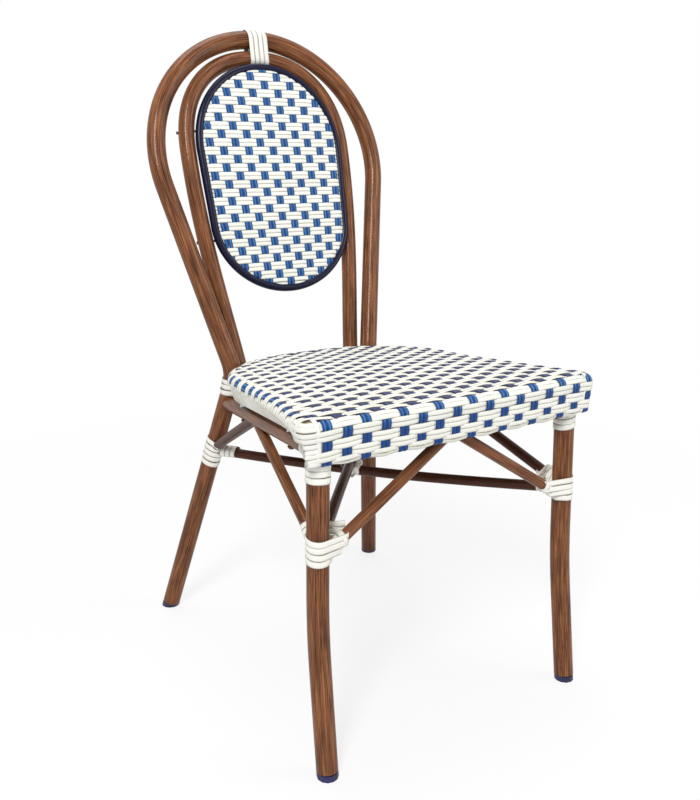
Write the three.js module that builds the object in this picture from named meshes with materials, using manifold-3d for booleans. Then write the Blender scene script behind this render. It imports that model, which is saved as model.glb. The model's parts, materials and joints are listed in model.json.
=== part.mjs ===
// A woven bistro chair: bent aluminium tubes with a bamboo look, a seat and an oval back of flat strands.
// Millimetres, Z up, the front of the chair towards minus Y, its feet on the ground plane.

import * as THREE from "three";
import { mergeVertices } from "three/addons/utils/BufferGeometryUtils.js";
import Module from "manifold-3d";

const wasm = await Module();
wasm.setup();

// Tubes
const frameTubeRadius = 14;
const hoopTubeRadius = 12.5;
const railRadius = 10;
const braceRadius = 7.5;
const tubeWall = 1.5;
const jointGap = 0.3;
const tubeSides = 12;
const boreSides = 6;
const pinSides = 8;

// The seat's front edge. The legs, the rails, the joints under them and the back keep their places from it.
const seatFrontHeight = 463;
const seatFrontHalfWidth = 238;
const seatFrontReach = 274;

// Front legs, measured at the middle of the tube
const frontTopInset = 39.9;
const frontTopHalfSpan = seatFrontHalfWidth - frontTopInset;
const frontKneeSpread = 4.9;
const frontKneeHalfSpan = frontTopHalfSpan + frontKneeSpread;
const frontFootSpread = 6.5;
const frontFootHalfSpan = frontTopHalfSpan + frontFootSpread;
const frontTopSetback = 32.3;
const frontTopReach = seatFrontReach - frontTopSetback;
const frontKneeLead = 3.6;
const frontKneeReach = frontTopReach + frontKneeLead;
const frontKneeHeight = 189.5;
const frontFootLead = 27.3;
const frontFootReach = frontTopReach + frontFootLead;
const frontTopDrop = 33;
const frontTopHeight = seatFrontHeight - frontTopDrop;
const kneeBendRadius = 900;
const kneeBendSteps = 5;

// Rear legs and the outer hoop, one tube
const waistInset = 114.2;
const waistHalfSpan = seatFrontHalfWidth - waistInset;
const rearFootSpread = 81.6;
const rearFootHalfSpan = waistHalfSpan + rearFootSpread;
const rearFootReach = 258.2;
const waistReach = 141;
const waistDrop = 40;
const waistHeight = seatFrontHeight - waistDrop;
const waistBendRadius = 65;
const waistBendSteps = 4;
const backRakeDegrees = 16.8;
const hoopSpread = 69.2;
const hoopRadius = waistHalfSpan + hoopSpread;
const hoopCentreRise = 321;
const hoopCentreHeight = waistHeight + hoopCentreRise;

// Inner hoop, in its own raked plane
const innerRakeDegrees = 14.5;
const innerBaseReach = 173.8;
const innerBaseDrop = 3;
const innerBaseHeight = seatFrontHeight - innerBaseDrop;
const innerEndInset = 25.3;
const innerEndHalfSpan = waistHalfSpan - innerEndInset;
const innerShoulderInset = 54.5;
const innerShoulderHalfSpan = hoopRadius - innerShoulderInset;
const innerShoulderDrop = 146.4;
const crownSpacing = 29.8;
const innerFlankPower = 1.3;
const innerCrownPower = 2.23;

// Rails
const railRearDrop = 88;
const railRearHeight = seatFrontHeight - railRearDrop;
const sideRailFrontDrop = 45;
const sideRailFrontHeight = seatFrontHeight - sideRailFrontDrop;
const frontRailDrop = 51;
const frontRailHeight = seatFrontHeight - frontRailDrop;

// Braces and cross stretchers
const stretcherDrop = 81;
const stretcherHeight = railRearHeight - stretcherDrop;
const crossClearance = 0.7;
const frontBraceFootDrop = 13;
const frontBraceFootHeight = stretcherHeight - frontBraceFootDrop;
const braceFootRise = 4;
const sideBraceFootHeight = stretcherHeight + braceFootRise;
const rearBraceFootHeight = stretcherHeight + braceFootRise;
const mitreGap = 0.4;

// Glides
const glideHeight = 8;
const glidePlugLength = 20;

// Seat
const seatSlopeDegrees = 2.5;
const seatCrown = 3;
const seatFrontBow = 6;
const seatCornerReach = seatFrontReach - seatFrontBow;
const seatCornerRadius = 26;
const seatFlankLength = 115;
const seatFlankReach = seatCornerReach - seatFlankLength;
const seatFlankInset = 28;
const seatFlankHalfWidth = seatFrontHalfWidth - seatFlankInset;
const seatWaistInset = 50;
const seatWaistHalfWidth = seatFrontHalfWidth - seatWaistInset;
const seatWaistReach = 40;
const seatRearCentre = -30;
const seatRearDepth = 181;
const seatRearPower = 2.4;
const seatFrontSteps = 6;
const seatCornerSteps = 6;
const seatFlankSteps = 3;
const seatWaistSteps = 3;
const seatRearSteps = 13;
const seatCentreReach = 51;
const weaveThickness = 3;
const seatEdgeRound = 14;
const fasciaDepth = 57;
const fasciaBottomHeight = seatFrontHeight - fasciaDepth;
const seatRearThickness = 42;
const rimOverRail = 12.5;
const rimLift = 20;
const frontRimInset = 4;
const rearRimInset = 8;
const frontnessRange = [0.22, 0.95];
const rearnessRange = [0.15, 0.7];
const legFlankShare = 0.55;

// Section of the seat's shell: rings inwards from its middle, as shares of the outline and of the round edge
const innerDiscShare = 0.45;
const outerDiscShare = 0.82;
const edgeTopShare = 0.62;
const edgeSideShare = 0.18;
const edgeDropShare = 0.36;
const innerEdgeDropShare = 1.5;

// Frame under the weave
const seatRingInset = 16;
const seatRingWidth = 14;
const seatRingHeight = 16;
const supportBarWidth = 22;
const supportBarThickness = 6;
const frontBarSetback = 78;
const rearBarPlace = 10;
const supportBarPlaces = [frontBarSetback - seatCornerReach, rearBarPlace];
const spacerRadius = 6;
const frontSpacerSetback = 118;
const rearSpacerPlace = 56;
const spacerPlaces = { front: frontSpacerSetback - seatCornerReach, rear: rearSpacerPlace };
const boltRadius = 3;
const boltHeadRadius = 5.5;
const boltHeadHeight = 3.5;
const boltGrip = 14;
const boltClearance = 0.5;

// Oval back panel, placed in the inner hoop's plane
const panelForward = 13;
const panelCrownGap = 11;
const panelHeight = 365.9;
const panelUpperDepth = 134.4;
const panelLowerDepth = 113.5;
const panelUpperInset = 9;
const panelUpperHalfWidth = innerShoulderHalfSpan - panelUpperInset;
const panelLowerInset = 14.5;
const panelLowerHalfWidth = innerShoulderHalfSpan - panelLowerInset;
const panelRingWidth = 12;
const panelRingDepth = 6;
const panelWeaveDepth = 3;
const pipingRadius = 6.2;
const panelOutlinePoints = 36;
const panelScrewDrops = [277.4, 107.4];
const panelScrewRadius = 2;
const panelScrewHeadRadius = 3;
const panelScrewHeadHeight = 1.5;
const panelRingGap = 1.2;

// Flat strap of the bindings
const strapWidth = 7;
const strapThickness = 1.2;
const strapPitch = 8.3;
const strapClearance = 0.4;
const roundSteps = 12;
const hullSteps = 16;
const crownTurns = 4;
const crownShift = 3;
const crossTurns = 3;
const hullSlack = 0.7;
const legTurns = 2.58;
const legTurnStartDegrees = 75;
const frontJointBindingDrop = 32;
const frontJointBindingHeight = stretcherHeight - frontJointBindingDrop;
const rearJointBindingDrop = 27;
const rearJointBindingHeight = stretcherHeight - rearJointBindingDrop;
const jointBindingTilt = 12;
const legTopBindingDrop = 82;
const legTopBindingHeight = seatFrontHeight - legTopBindingDrop;
const rearSeatBindingDrop = 70;
const rearSeatBindingHeight = seatFrontHeight - rearSeatBindingDrop;
const rearSeatTurns = 3;
const rearSeatSlack = 2.2;

// Rivet through the crossing of the stretchers
const rivetRadius = 2.5;
const rivetHeadRadius = 4.5;
const rivetHeadHeight = 2;

// Shape of every pin's domed head, as shares of its radius and height
const domeShare = 0.6;
const rimShare = 0.3;

const overrun = 60;
const mergeShare = 1e-4;
const radians = THREE.MathUtils.degToRad;
const vector = (x, y, z) => new THREE.Vector3(x, y, z);

const woodBrown = new THREE.MeshStandardMaterial({ color: "#6e4128", roughness: 0.38, metalness: 0.1 });
const darkBrown = new THREE.MeshStandardMaterial({ color: "#4a2a1b", roughness: 0.4, metalness: 0.1 });
const whiteStrand = new THREE.MeshStandardMaterial({ color: "#f3f0df", roughness: 0.45, metalness: 0 });
const whiteStrap = new THREE.MeshStandardMaterial({ color: "#f6f4ea", roughness: 0.4, metalness: 0 });
const navyPiping = new THREE.MeshStandardMaterial({ color: "#1e1a4c", roughness: 0.3, metalness: 0 });
const glideBlue = new THREE.MeshStandardMaterial({ color: "#23245e", roughness: 0.5, metalness: 0 });
const bareAluminium = new THREE.MeshStandardMaterial({ color: "#b9bcc0", roughness: 0.4, metalness: 0.9 });
const zincSteel = new THREE.MeshStandardMaterial({ color: "#8d8f92", roughness: 0.35, metalness: 0.9 });

// Solids: geometry to and from the boolean library
function solidOf(geometry) {
  const plain = geometry.index ? geometry.toNonIndexed() : geometry.clone();
  plain.deleteAttribute("normal");
  plain.deleteAttribute("uv");
  const merged = mergeVertices(plain, mergeShare * frameTubeRadius);
  const mesh = new wasm.Mesh({
    numProp: 3,
    vertProperties: new Float32Array(merged.attributes.position.array),
    triVerts: new Uint32Array(merged.index.array),
  });
  mesh.merge();
  return new wasm.Manifold(mesh);
}

function geometryOf(solid) {
  const pieces = solid.decompose();
  const largest = pieces.reduce((best, piece) => (piece.volume() > best.volume() ? piece : best));
  const mesh = largest.getMesh();
  const geometry = new THREE.BufferGeometry();
  geometry.setAttribute("position", new THREE.BufferAttribute(new Float32Array(mesh.vertProperties), 3));
  geometry.setIndex(Array.from(mesh.triVerts));
  geometry.computeVertexNormals();
  return geometry;
}

// A line through given stations, which a section is swept along with its own frame at each station.
class StationLine extends THREE.Curve {
  constructor(stations, outwards = null) {
    super();
    this.stations = stations;
    this.outwards = outwards;
  }

  getPoint(t, target = new THREE.Vector3()) {
    const place = t * (this.stations.length - 1);
    const index = Math.min(Math.floor(place), this.stations.length - 2);
    return target.lerpVectors(this.stations[index], this.stations[index + 1], place - index);
  }

  getPointAt(u, target) {
    return this.getPoint(u, target);
  }

  tangentOf(index) {
    const last = this.stations.length - 1;
    const before = this.stations[Math.max(index - 1, 0)];
    const here = this.stations[index];
    const after = this.stations[Math.min(index + 1, last)];
    const inward = here.clone().sub(before).normalize();
    const outward = after.clone().sub(here).normalize();
    return inward.add(outward).normalize();
  }

  getTangentAt(u, target = new THREE.Vector3()) {
    return target.copy(this.tangentOf(Math.round(u * (this.stations.length - 1))));
  }

  computeFrenetFrames(segments, closed) {
    if (!this.outwards) return super.computeFrenetFrames(segments, closed);
    const tangents = this.stations.map((station, index) => this.tangentOf(index));
    const normals = tangents.map((tangent, index) => {
      const outward = this.outwards[index].clone();
      return outward.addScaledVector(tangent, -outward.dot(tangent)).normalize();
    });
    const binormals = tangents.map((tangent, index) => tangent.clone().cross(normals[index]));
    return { tangents, normals, binormals };
  }
}

// Lays stations along corners, with a round bend of the given radius at each inner corner.
function bentStations(corners, radii, bendSteps) {
  const stations = [corners[0].clone()];
  for (let index = 1; index < corners.length - 1; index += 1) {
    const corner = corners[index];
    const back = corners[index - 1].clone().sub(corner).normalize();
    const ahead = corners[index + 1].clone().sub(corner).normalize();
    const half = (Math.PI - back.angleTo(ahead)) / 2;
    const setback = radii[index - 1] * Math.tan(half);
    const start = corner.clone().addScaledVector(back, setback);
    const end = corner.clone().addScaledVector(ahead, setback);
    const bend = new THREE.QuadraticBezierCurve3(start, corner, end);
    stations.push(...bend.getPoints(bendSteps));
  }
  stations.push(corners[corners.length - 1].clone());
  return stations;
}

function tubeSection(radius, wall) {
  const section = new THREE.Shape();
  section.setFromPoints(ringPoints(radius, tubeSides));
  if (wall > 0) section.holes.push(new THREE.Path().setFromPoints(ringPoints(radius - wall, boreSides)));
  return section;
}

// A ring of points with its corners on the circle
function ringPoints(radius, sides) {
  return Array.from({ length: sides }, (unused, index) => {
    const angle = (2 * Math.PI * index) / sides;
    return new THREE.Vector2(radius * Math.cos(angle), radius * Math.sin(angle));
  });
}

function sweep(section, stations, outwards = null) {
  const extrudePath = new StationLine(stations, outwards);
  const steps = stations.length - 1;
  return new THREE.ExtrudeGeometry(section, { steps, extrudePath, bevelEnabled: false });
}

const tubeSolid = (stations, radius) => solidOf(sweep(tubeSection(radius, tubeWall), stations));
const rodSolid = (stations, radius) => solidOf(sweep(tubeSection(radius, 0), stations));

// The space a tube takes, with the joint gap all round, for cutting what meets it.
const seatOfTube = (stations, radius) => rodSolid(stations, radius + jointGap);

// A block from low to high corner, used to trim ends
function block(low, high) {
  const size = high.clone().sub(low);
  const geometry = new THREE.BoxGeometry(size.x, size.y, size.z);
  geometry.translate(...low.clone().add(high).multiplyScalar(0.5).toArray());
  return solidOf(geometry);
}

const chair = new THREE.Group();

function addPiece(name, geometry, material, parent = chair) {
  const mesh = new THREE.Mesh(geometry, material);
  mesh.name = name;
  parent.add(mesh);
  return mesh;
}

const sides = { left: -1, right: 1 };

// Paths of the frame's tubes
const frontLegStations = (side) =>
  bentStations(
    [
      vector(side * frontFootHalfSpan, -frontFootReach, 0),
      vector(side * frontKneeHalfSpan, -frontKneeReach, frontKneeHeight),
      vector(side * frontTopHalfSpan, -frontTopReach, frontTopHeight),
    ],
    [kneeBendRadius],
    kneeBendSteps,
  );

// A point on the outer hoop's raked plane: half width across, height above the ground.
const backRake = radians(backRakeDegrees);
const onBackPlane = (x, z) => vector(x, waistReach + (z - waistHeight) * Math.tan(backRake), z);

// The straight side of the hoop leaves the waist and runs tangent into the crown's circle.
function hoopTangentAngle() {
  const rise = (hoopCentreHeight - waistHeight) / Math.cos(backRake);
  const distance = Math.hypot(rise, waistHalfSpan);
  return Math.acos(hoopRadius / distance) - Math.atan2(rise, waistHalfSpan);
}

function rearFrameStations() {
  const start = hoopTangentAngle();
  const arcSteps = 20;
  const arc = Array.from({ length: arcSteps + 1 }, (unused, index) => {
    const angle = start + ((Math.PI - 2 * start) * index) / arcSteps;
    const z = hoopCentreHeight + hoopRadius * Math.sin(angle) * Math.cos(backRake);
    return onBackPlane(hoopRadius * Math.cos(angle), z);
  });
  const legOf = (side) =>
    bentStations(
      [
        vector(side * rearFootHalfSpan, rearFootReach, 0),
        vector(side * waistHalfSpan, waistReach, waistHeight),
        side > 0 ? arc[0] : arc[arc.length - 1],
      ],
      [waistBendRadius],
      waistBendSteps,
    );
  const right = legOf(1);
  const left = legOf(-1);
  return [...right.slice(0, -1), ...arc, ...left.slice(0, -1).reverse()];
}

// The inner hoop's plane: across, rise along the rake, and forward of the plane.
const innerRake = radians(innerRakeDegrees);
const innerPlane = new THREE.Group();
innerPlane.position.set(0, innerBaseReach, innerBaseHeight);
innerPlane.rotation.x = Math.PI / 2 - innerRake;
innerPlane.updateMatrix();
const onInnerPlane = (x, rise, forward = 0) => vector(x, rise, forward).applyMatrix4(innerPlane.matrix);

// Rises of the inner hoop and of the panel inside it, all taken down from the outer hoop's crown
const crownHeight = hoopCentreHeight + hoopRadius * Math.cos(backRake);
const innerCrownRise = (crownHeight - crownSpacing - innerBaseHeight) / Math.cos(innerRake);
const innerShoulderRise = innerCrownRise - innerShoulderDrop;
const innerEndRise = (railRearHeight - innerBaseHeight) / Math.cos(innerRake);
const panelTopRise = innerCrownRise - panelCrownGap;
const panelBottomRise = panelTopRise - panelHeight;
const panelUpperCentre = panelTopRise - panelUpperDepth;
const panelLowerCentre = panelBottomRise + panelLowerDepth;
const panelScrewRises = panelScrewDrops.map((drop) => panelTopRise - drop);

// Half width of the inner hoop at a rise below its shoulder
function innerHalfWidth(rise) {
  const share = (rise - innerEndRise) / (innerShoulderRise - innerEndRise);
  const swell = Math.sin((Math.PI / 2) * share) ** innerFlankPower;
  return THREE.MathUtils.lerp(innerEndHalfSpan, innerShoulderHalfSpan, swell);
}

function innerHoopStations() {
  const sideSteps = 6;
  const crownSteps = 16;
  const flank = Array.from({ length: sideSteps }, (unused, index) => {
    const rise = innerEndRise + ((innerShoulderRise - innerEndRise) * index) / sideSteps;
    return { x: innerHalfWidth(rise), rise };
  });
  const crown = Array.from({ length: crownSteps + 1 }, (unused, index) => {
    const angle = (Math.PI * index) / crownSteps;
    const power = 2 / innerCrownPower;
    const across = Math.sign(Math.cos(angle)) * Math.abs(Math.cos(angle)) ** power;
    const up = Math.sin(angle) ** power;
    return {
      x: innerShoulderHalfSpan * across,
      rise: innerShoulderRise + (innerCrownRise - innerShoulderRise) * up,
    };
  });
  const mirrored = flank.map(({ x, rise }) => ({ x: -x, rise })).reverse();
  return [...flank, ...crown, ...mirrored].map(({ x, rise }) => onInnerPlane(x, rise));
}

// Where a leg's middle line is at a height
function legPoint(stations, height) {
  const above = stations.findIndex((station, index) => index > 0 && station.z >= height);
  const low = stations[above - 1];
  const high = stations[above];
  return low.clone().lerp(high, (height - low.z) / (high.z - low.z));
}

const rearStations = rearFrameStations();
const rearLegStations = (side) => {
  const half = rearStations.slice(0, waistBendSteps + 3);
  return side > 0 ? half : half.map((station) => vector(-station.x, station.y, station.z));
};
const innerStations = innerHoopStations();
const frontLegAt = (side, height) => legPoint(frontLegStations(side), height);
const rearLegAt = (side, height) => legPoint(rearLegStations(side), height);

const sideRailStations = (side) => [rearLegAt(side, railRearHeight), frontLegAt(side, sideRailFrontHeight)];
const frontRailStations = [frontLegAt(-1, frontRailHeight), frontLegAt(1, frontRailHeight)];
const rearRailStations = [rearLegAt(-1, railRearHeight), rearLegAt(1, railRearHeight)];

const railSlope = (sideRailFrontHeight - railRearHeight) / (frontTopReach + waistReach);

// A side rail's middle point at a place along the chair's depth
function railPoint(side, y) {
  const [rear, front] = sideRailStations(side);
  return rear.clone().lerp(front, (y - rear.y) / (front.y - rear.y));
}

// Spaces that joints are cut to
const frontLegSeats = { left: seatOfTube(frontLegStations(-1), frameTubeRadius) };
frontLegSeats.right = seatOfTube(frontLegStations(1), frameTubeRadius);
const rearFrameSeat = seatOfTube(rearStations, frameTubeRadius);
const frontRailSeat = seatOfTube(frontRailStations, railRadius);
const rearRailSeat = seatOfTube(rearRailStations, railRadius);
const sideRailSeats = { left: seatOfTube(sideRailStations(-1), railRadius) };
sideRailSeats.right = seatOfTube(sideRailStations(1), railRadius);

const wide = 2 * (seatFrontReach + rearFootReach);
const underGlides = block(vector(-wide, -wide, -wide), vector(wide, wide, glideHeight + jointGap));

// Bolts through the side rails into the seat ring
const seatTop = (y) => seatFrontHeight - (y + seatCornerReach) * Math.tan(radians(seatSlopeDegrees));
const seatRingTop = (y) => seatTop(y) - weaveThickness - jointGap - seatCrown;
const seatRingBottom = (y) => seatRingTop(y) - seatRingHeight;

function uprightRod(radius, x, y, low, high, count = pinSides) {
  const geometry = new THREE.CylinderGeometry(radius, radius, high - low, count);
  geometry.rotateX(Math.PI / 2);
  geometry.translate(x, y, (low + high) / 2);
  return solidOf(geometry);
}

function boltHole(side, y) {
  const rail = railPoint(side, y);
  const holeRadius = boltRadius + boltClearance;
  return uprightRod(holeRadius, rail.x, y, rail.z - overrun, seatRingBottom(y) + boltGrip + jointGap);
}

// Frame tubes
for (const [word, side] of Object.entries(sides)) {
  const leg = tubeSolid(frontLegStations(side), frameTubeRadius).subtract(underGlides);
  addPiece(`front_leg_${word}`, geometryOf(leg), woodBrown);
}

const rearFrame = tubeSolid(rearStations, frameTubeRadius).subtract(underGlides);
addPiece("rear_frame_tube", geometryOf(rearFrame), woodBrown);

// Panel screws run from behind the inner hoop, through its middle, into the panel's ring.
function panelScrewLine(side, rise) {
  const hoop = vector(side * innerHalfWidth(Math.min(rise, innerShoulderRise)), rise, 0);
  const ringReach = panelHalfWidth(rise) - 2 * pipingRadius - panelRingWidth / 2;
  const ring = vector(side * ringReach, rise, panelForward);
  const direction = ring.clone().sub(hoop).normalize();
  return { hoop, ring, direction };
}

// Half width of the panel's outline at a rise
function panelHalfWidth(rise) {
  if (rise > panelUpperCentre) {
    const share = (rise - panelUpperCentre) / (panelTopRise - panelUpperCentre);
    return panelUpperHalfWidth * Math.sqrt(Math.max(0, 1 - share ** 2));
  }
  if (rise < panelLowerCentre) {
    const share = (panelLowerCentre - rise) / (panelLowerCentre - panelBottomRise);
    return panelLowerHalfWidth * Math.sqrt(Math.max(0, 1 - share ** 2));
  }
  const share = (rise - panelLowerCentre) / (panelUpperCentre - panelLowerCentre);
  return THREE.MathUtils.lerp(panelLowerHalfWidth, panelUpperHalfWidth, share);
}

// A rod along a line of the inner hoop's plane
function slantedRod(radius, from, to, count = pinSides) {
  const length = from.distanceTo(to);
  const geometry = new THREE.CylinderGeometry(radius, radius, length, count);
  const turn = new THREE.Quaternion().setFromUnitVectors(vector(0, 1, 0), to.clone().sub(from).normalize());
  geometry.applyQuaternion(turn);
  geometry.translate(...from.clone().add(to).multiplyScalar(0.5).toArray());
  return solidOf(geometry);
}

const toInnerPlane = (point) => point.clone().applyMatrix4(innerPlane.matrix);

function panelScrewRod(side, rise, radius, inPlane) {
  const { hoop, ring, direction } = panelScrewLine(side, rise);
  const from = hoop.clone().addScaledVector(direction, -(hoopTubeRadius + jointGap));
  const to = ring.clone().addScaledVector(direction, radius - panelScrewRadius);
  return inPlane ? slantedRod(radius, from, to) : slantedRod(radius, toInnerPlane(from), toInnerPlane(to));
}

const panelScrewPlaces = Object.entries(sides).flatMap(([word, side]) =>
  panelScrewRises.map((rise, index) => ({ name: `${index ? "upper" : "lower"}_${word}`, side, rise })),
);

let innerHoop = tubeSolid(innerStations, hoopTubeRadius).subtract(rearRailSeat);
for (const { side, rise } of panelScrewPlaces) {
  innerHoop = innerHoop.subtract(panelScrewRod(side, rise, panelScrewRadius + boltClearance, false));
}
addPiece("inner_hoop_tube", geometryOf(innerHoop), woodBrown);

// Rails, coped to the legs and drilled for the seat bolts
for (const [word, side] of Object.entries(sides)) {
  let rail = tubeSolid(sideRailStations(side), railRadius);
  rail = rail.subtract(frontLegSeats[word]).subtract(rearFrameSeat);
  for (const place of Object.values(spacerPlaces)) rail = rail.subtract(boltHole(side, place));
  addPiece(`side_rail_${word}`, geometryOf(rail), woodBrown);
}
const frontRail = tubeSolid(frontRailStations, railRadius)
  .subtract(frontLegSeats.left)
  .subtract(frontLegSeats.right)
  .subtract(sideRailSeats.left)
  .subtract(sideRailSeats.right);
addPiece("front_rail", geometryOf(frontRail), darkBrown);
const rearRail = tubeSolid(rearRailStations, railRadius)
  .subtract(rearFrameSeat)
  .subtract(sideRailSeats.left)
  .subtract(sideRailSeats.right);
addPiece("rear_rail", geometryOf(rearRail), darkBrown);

// Cross stretchers run from a rear leg to the opposite front leg and bow apart where they pass each other.
const crossSpread = braceRadius + crossClearance / 2;
const stretcherHalfSteps = 4;
function stretcherStations(side, bow) {
  const rear = rearLegAt(side, stretcherHeight);
  const front = frontLegAt(-side, stretcherHeight);
  const crossing = rear.x / (rear.x - front.x);
  const last = 2 * stretcherHalfSteps;
  return Array.from({ length: last + 1 }, (unused, index) => {
    const along = index / stretcherHalfSteps;
    const share = along < 1 ? crossing * along : crossing + (1 - crossing) * (along - 1);
    const point = rear.clone().lerp(front, share);
    point.z += bow * Math.sin((Math.PI * index) / last);
    return point;
  });
}
const lowerStretcher = stretcherStations(-1, -crossSpread);
const upperStretcher = stretcherStations(1, crossSpread);
const crossPlace = lowerStretcher[stretcherHalfSteps]
  .clone()
  .add(upperStretcher[stretcherHalfSteps])
  .multiplyScalar(0.5);
const rivetHole = uprightRod(
  rivetRadius + boltClearance,
  crossPlace.x,
  crossPlace.y,
  crossPlace.z - overrun,
  crossPlace.z + overrun,
);
function stretcher(stations, frontWord) {
  const tube = tubeSolid(stations, braceRadius);
  return tube.subtract(frontLegSeats[frontWord]).subtract(rearFrameSeat).subtract(rivetHole);
}
addPiece("cross_stretcher_lower", geometryOf(stretcher(lowerStretcher, "right")), darkBrown);
addPiece("cross_stretcher_upper", geometryOf(stretcher(upperStretcher, "left")), darkBrown);

// Braces: each pair leans together under a rail and meets on a mitre.
const centreX = block(vector(-mitreGap / 2, -wide, -wide), vector(wide, wide, wide));
const beyondCentre = { left: centreX, right: centreX.mirror([1, 0, 0]) };
const sideApexReach = 0;
const ahead = block(vector(-wide, -wide, -wide), vector(wide, sideApexReach + mitreGap / 2, wide));
const behind = block(vector(-wide, sideApexReach - mitreGap / 2, -wide), vector(wide, wide, wide));
const frontFootSeats = {};

for (const [word, side] of Object.entries(sides)) {
  const braceSolid = (foot, head) => tubeSolid([foot, head], braceRadius);
  const toFront = side < 0 ? upperStretcher : lowerStretcher;
  const toRear = side < 0 ? lowerStretcher : upperStretcher;
  const frontStretcherSeat = seatOfTube(toFront, braceRadius);
  const rearStretcherSeat = seatOfTube(toRear, braceRadius);

  const frontHead = vector(0, -frontTopReach, frontRailHeight);
  const front = braceSolid(frontLegAt(side, frontBraceFootHeight), frontHead)
    .subtract(frontLegSeats[word])
    .subtract(frontRailSeat)
    .subtract(frontStretcherSeat)
    .subtract(beyondCentre[word]);
  addPiece(`front_brace_${word}`, geometryOf(front), woodBrown);

  const rearHead = rearRailStations[0].clone().lerp(rearRailStations[1], 0.5);
  const rear = braceSolid(rearLegAt(side, rearBraceFootHeight), rearHead)
    .subtract(rearFrameSeat)
    .subtract(rearRailSeat)
    .subtract(rearStretcherSeat)
    .subtract(beyondCentre[word]);
  addPiece(`rear_brace_${word}`, geometryOf(rear), darkBrown);

  const sideHead = railPoint(side, sideApexReach);
  const frontSeat = seatOfTube([frontLegAt(side, frontBraceFootHeight), frontHead], braceRadius);
  const rearSeat = seatOfTube([rearLegAt(side, rearBraceFootHeight), rearHead], braceRadius);
  frontFootSeats[word] = frontSeat;
  const sideFront = braceSolid(frontLegAt(side, sideBraceFootHeight), sideHead)
    .subtract(frontLegSeats[word])
    .subtract(sideRailSeats[word])
    .subtract(frontStretcherSeat)
    .subtract(frontSeat)
    .subtract(behind);
  addPiece(`${word}_brace_front`, geometryOf(sideFront), woodBrown);

  const sideRear = braceSolid(rearLegAt(side, sideBraceFootHeight), sideHead)
    .subtract(rearFrameSeat)
    .subtract(sideRailSeats[word])
    .subtract(rearStretcherSeat)
    .subtract(rearSeat)
    .subtract(ahead);
  addPiece(`${word}_brace_rear`, geometryOf(sideRear), woodBrown);
}

// A pin: a round shank with a domed head below it and, for a rivet, one above it too
function headedPin(shankRadius, shankLength, headRadius, headHeight, secondHead) {
  const head = [
    [0, headHeight],
    [headRadius * domeShare, headHeight],
    [headRadius, headHeight * rimShare],
    [headRadius, 0],
  ];
  const below = head.map(([x, y]) => new THREE.Vector2(x, -y));
  const shank = [new THREE.Vector2(shankRadius, 0), new THREE.Vector2(shankRadius, shankLength)];
  const above = secondHead
    ? head.map(([x, y]) => new THREE.Vector2(x, shankLength + y)).reverse()
    : [new THREE.Vector2(0, shankLength)];
  return new THREE.LatheGeometry([...below, ...shank, ...above], pinSides);
}

function placePin(geometry, from, direction) {
  geometry.applyQuaternion(new THREE.Quaternion().setFromUnitVectors(vector(0, 1, 0), direction));
  geometry.translate(from.x, from.y, from.z);
  return geometry;
}

// The rivet's heads lie over the binding of the crossing.
function strapOutside(radius) {
  const middle = radius + hullSlack + strapClearance + strapThickness / 2;
  return middle / Math.cos(Math.PI / hullSteps) + strapThickness / 2;
}
const rivetGrip = 2 * (crossSpread + strapOutside(braceRadius) + jointGap);
const rivet = headedPin(rivetRadius, rivetGrip, rivetHeadRadius, rivetHeadHeight, true);
const rivetFoot = vector(crossPlace.x, crossPlace.y, crossPlace.z - rivetGrip / 2);
addPiece("cross_rivet", placePin(rivet, rivetFoot, vector(0, 0, 1)), zincSteel);

// Glides: a flat foot as wide as the tube, with a plug up its bore
function glide(stations) {
  const [foot, next] = stations;
  const direction = next.clone().sub(foot).normalize();
  const along = (length) => foot.clone().addScaledVector(direction, length);
  const head = rodSolid([along(-overrun), along(overrun)], frameTubeRadius)
    .subtract(block(vector(-wide, -wide, -wide), vector(wide, wide, 0)))
    .subtract(block(vector(-wide, -wide, glideHeight), vector(wide, wide, wide)));
  const plugRadius = (frameTubeRadius - tubeWall) * Math.cos(Math.PI / boreSides) - jointGap;
  const plug = slantedRod(plugRadius, along(glideHeight / 2), along(glideHeight + glidePlugLength));
  return geometryOf(head.add(plug));
}
for (const [word, side] of Object.entries(sides)) {
  addPiece(`foot_glide_front_${word}`, glide(frontLegStations(side)), glideBlue);
  addPiece(`foot_glide_rear_${word}`, glide(rearLegStations(side)), glideBlue);
}

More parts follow.
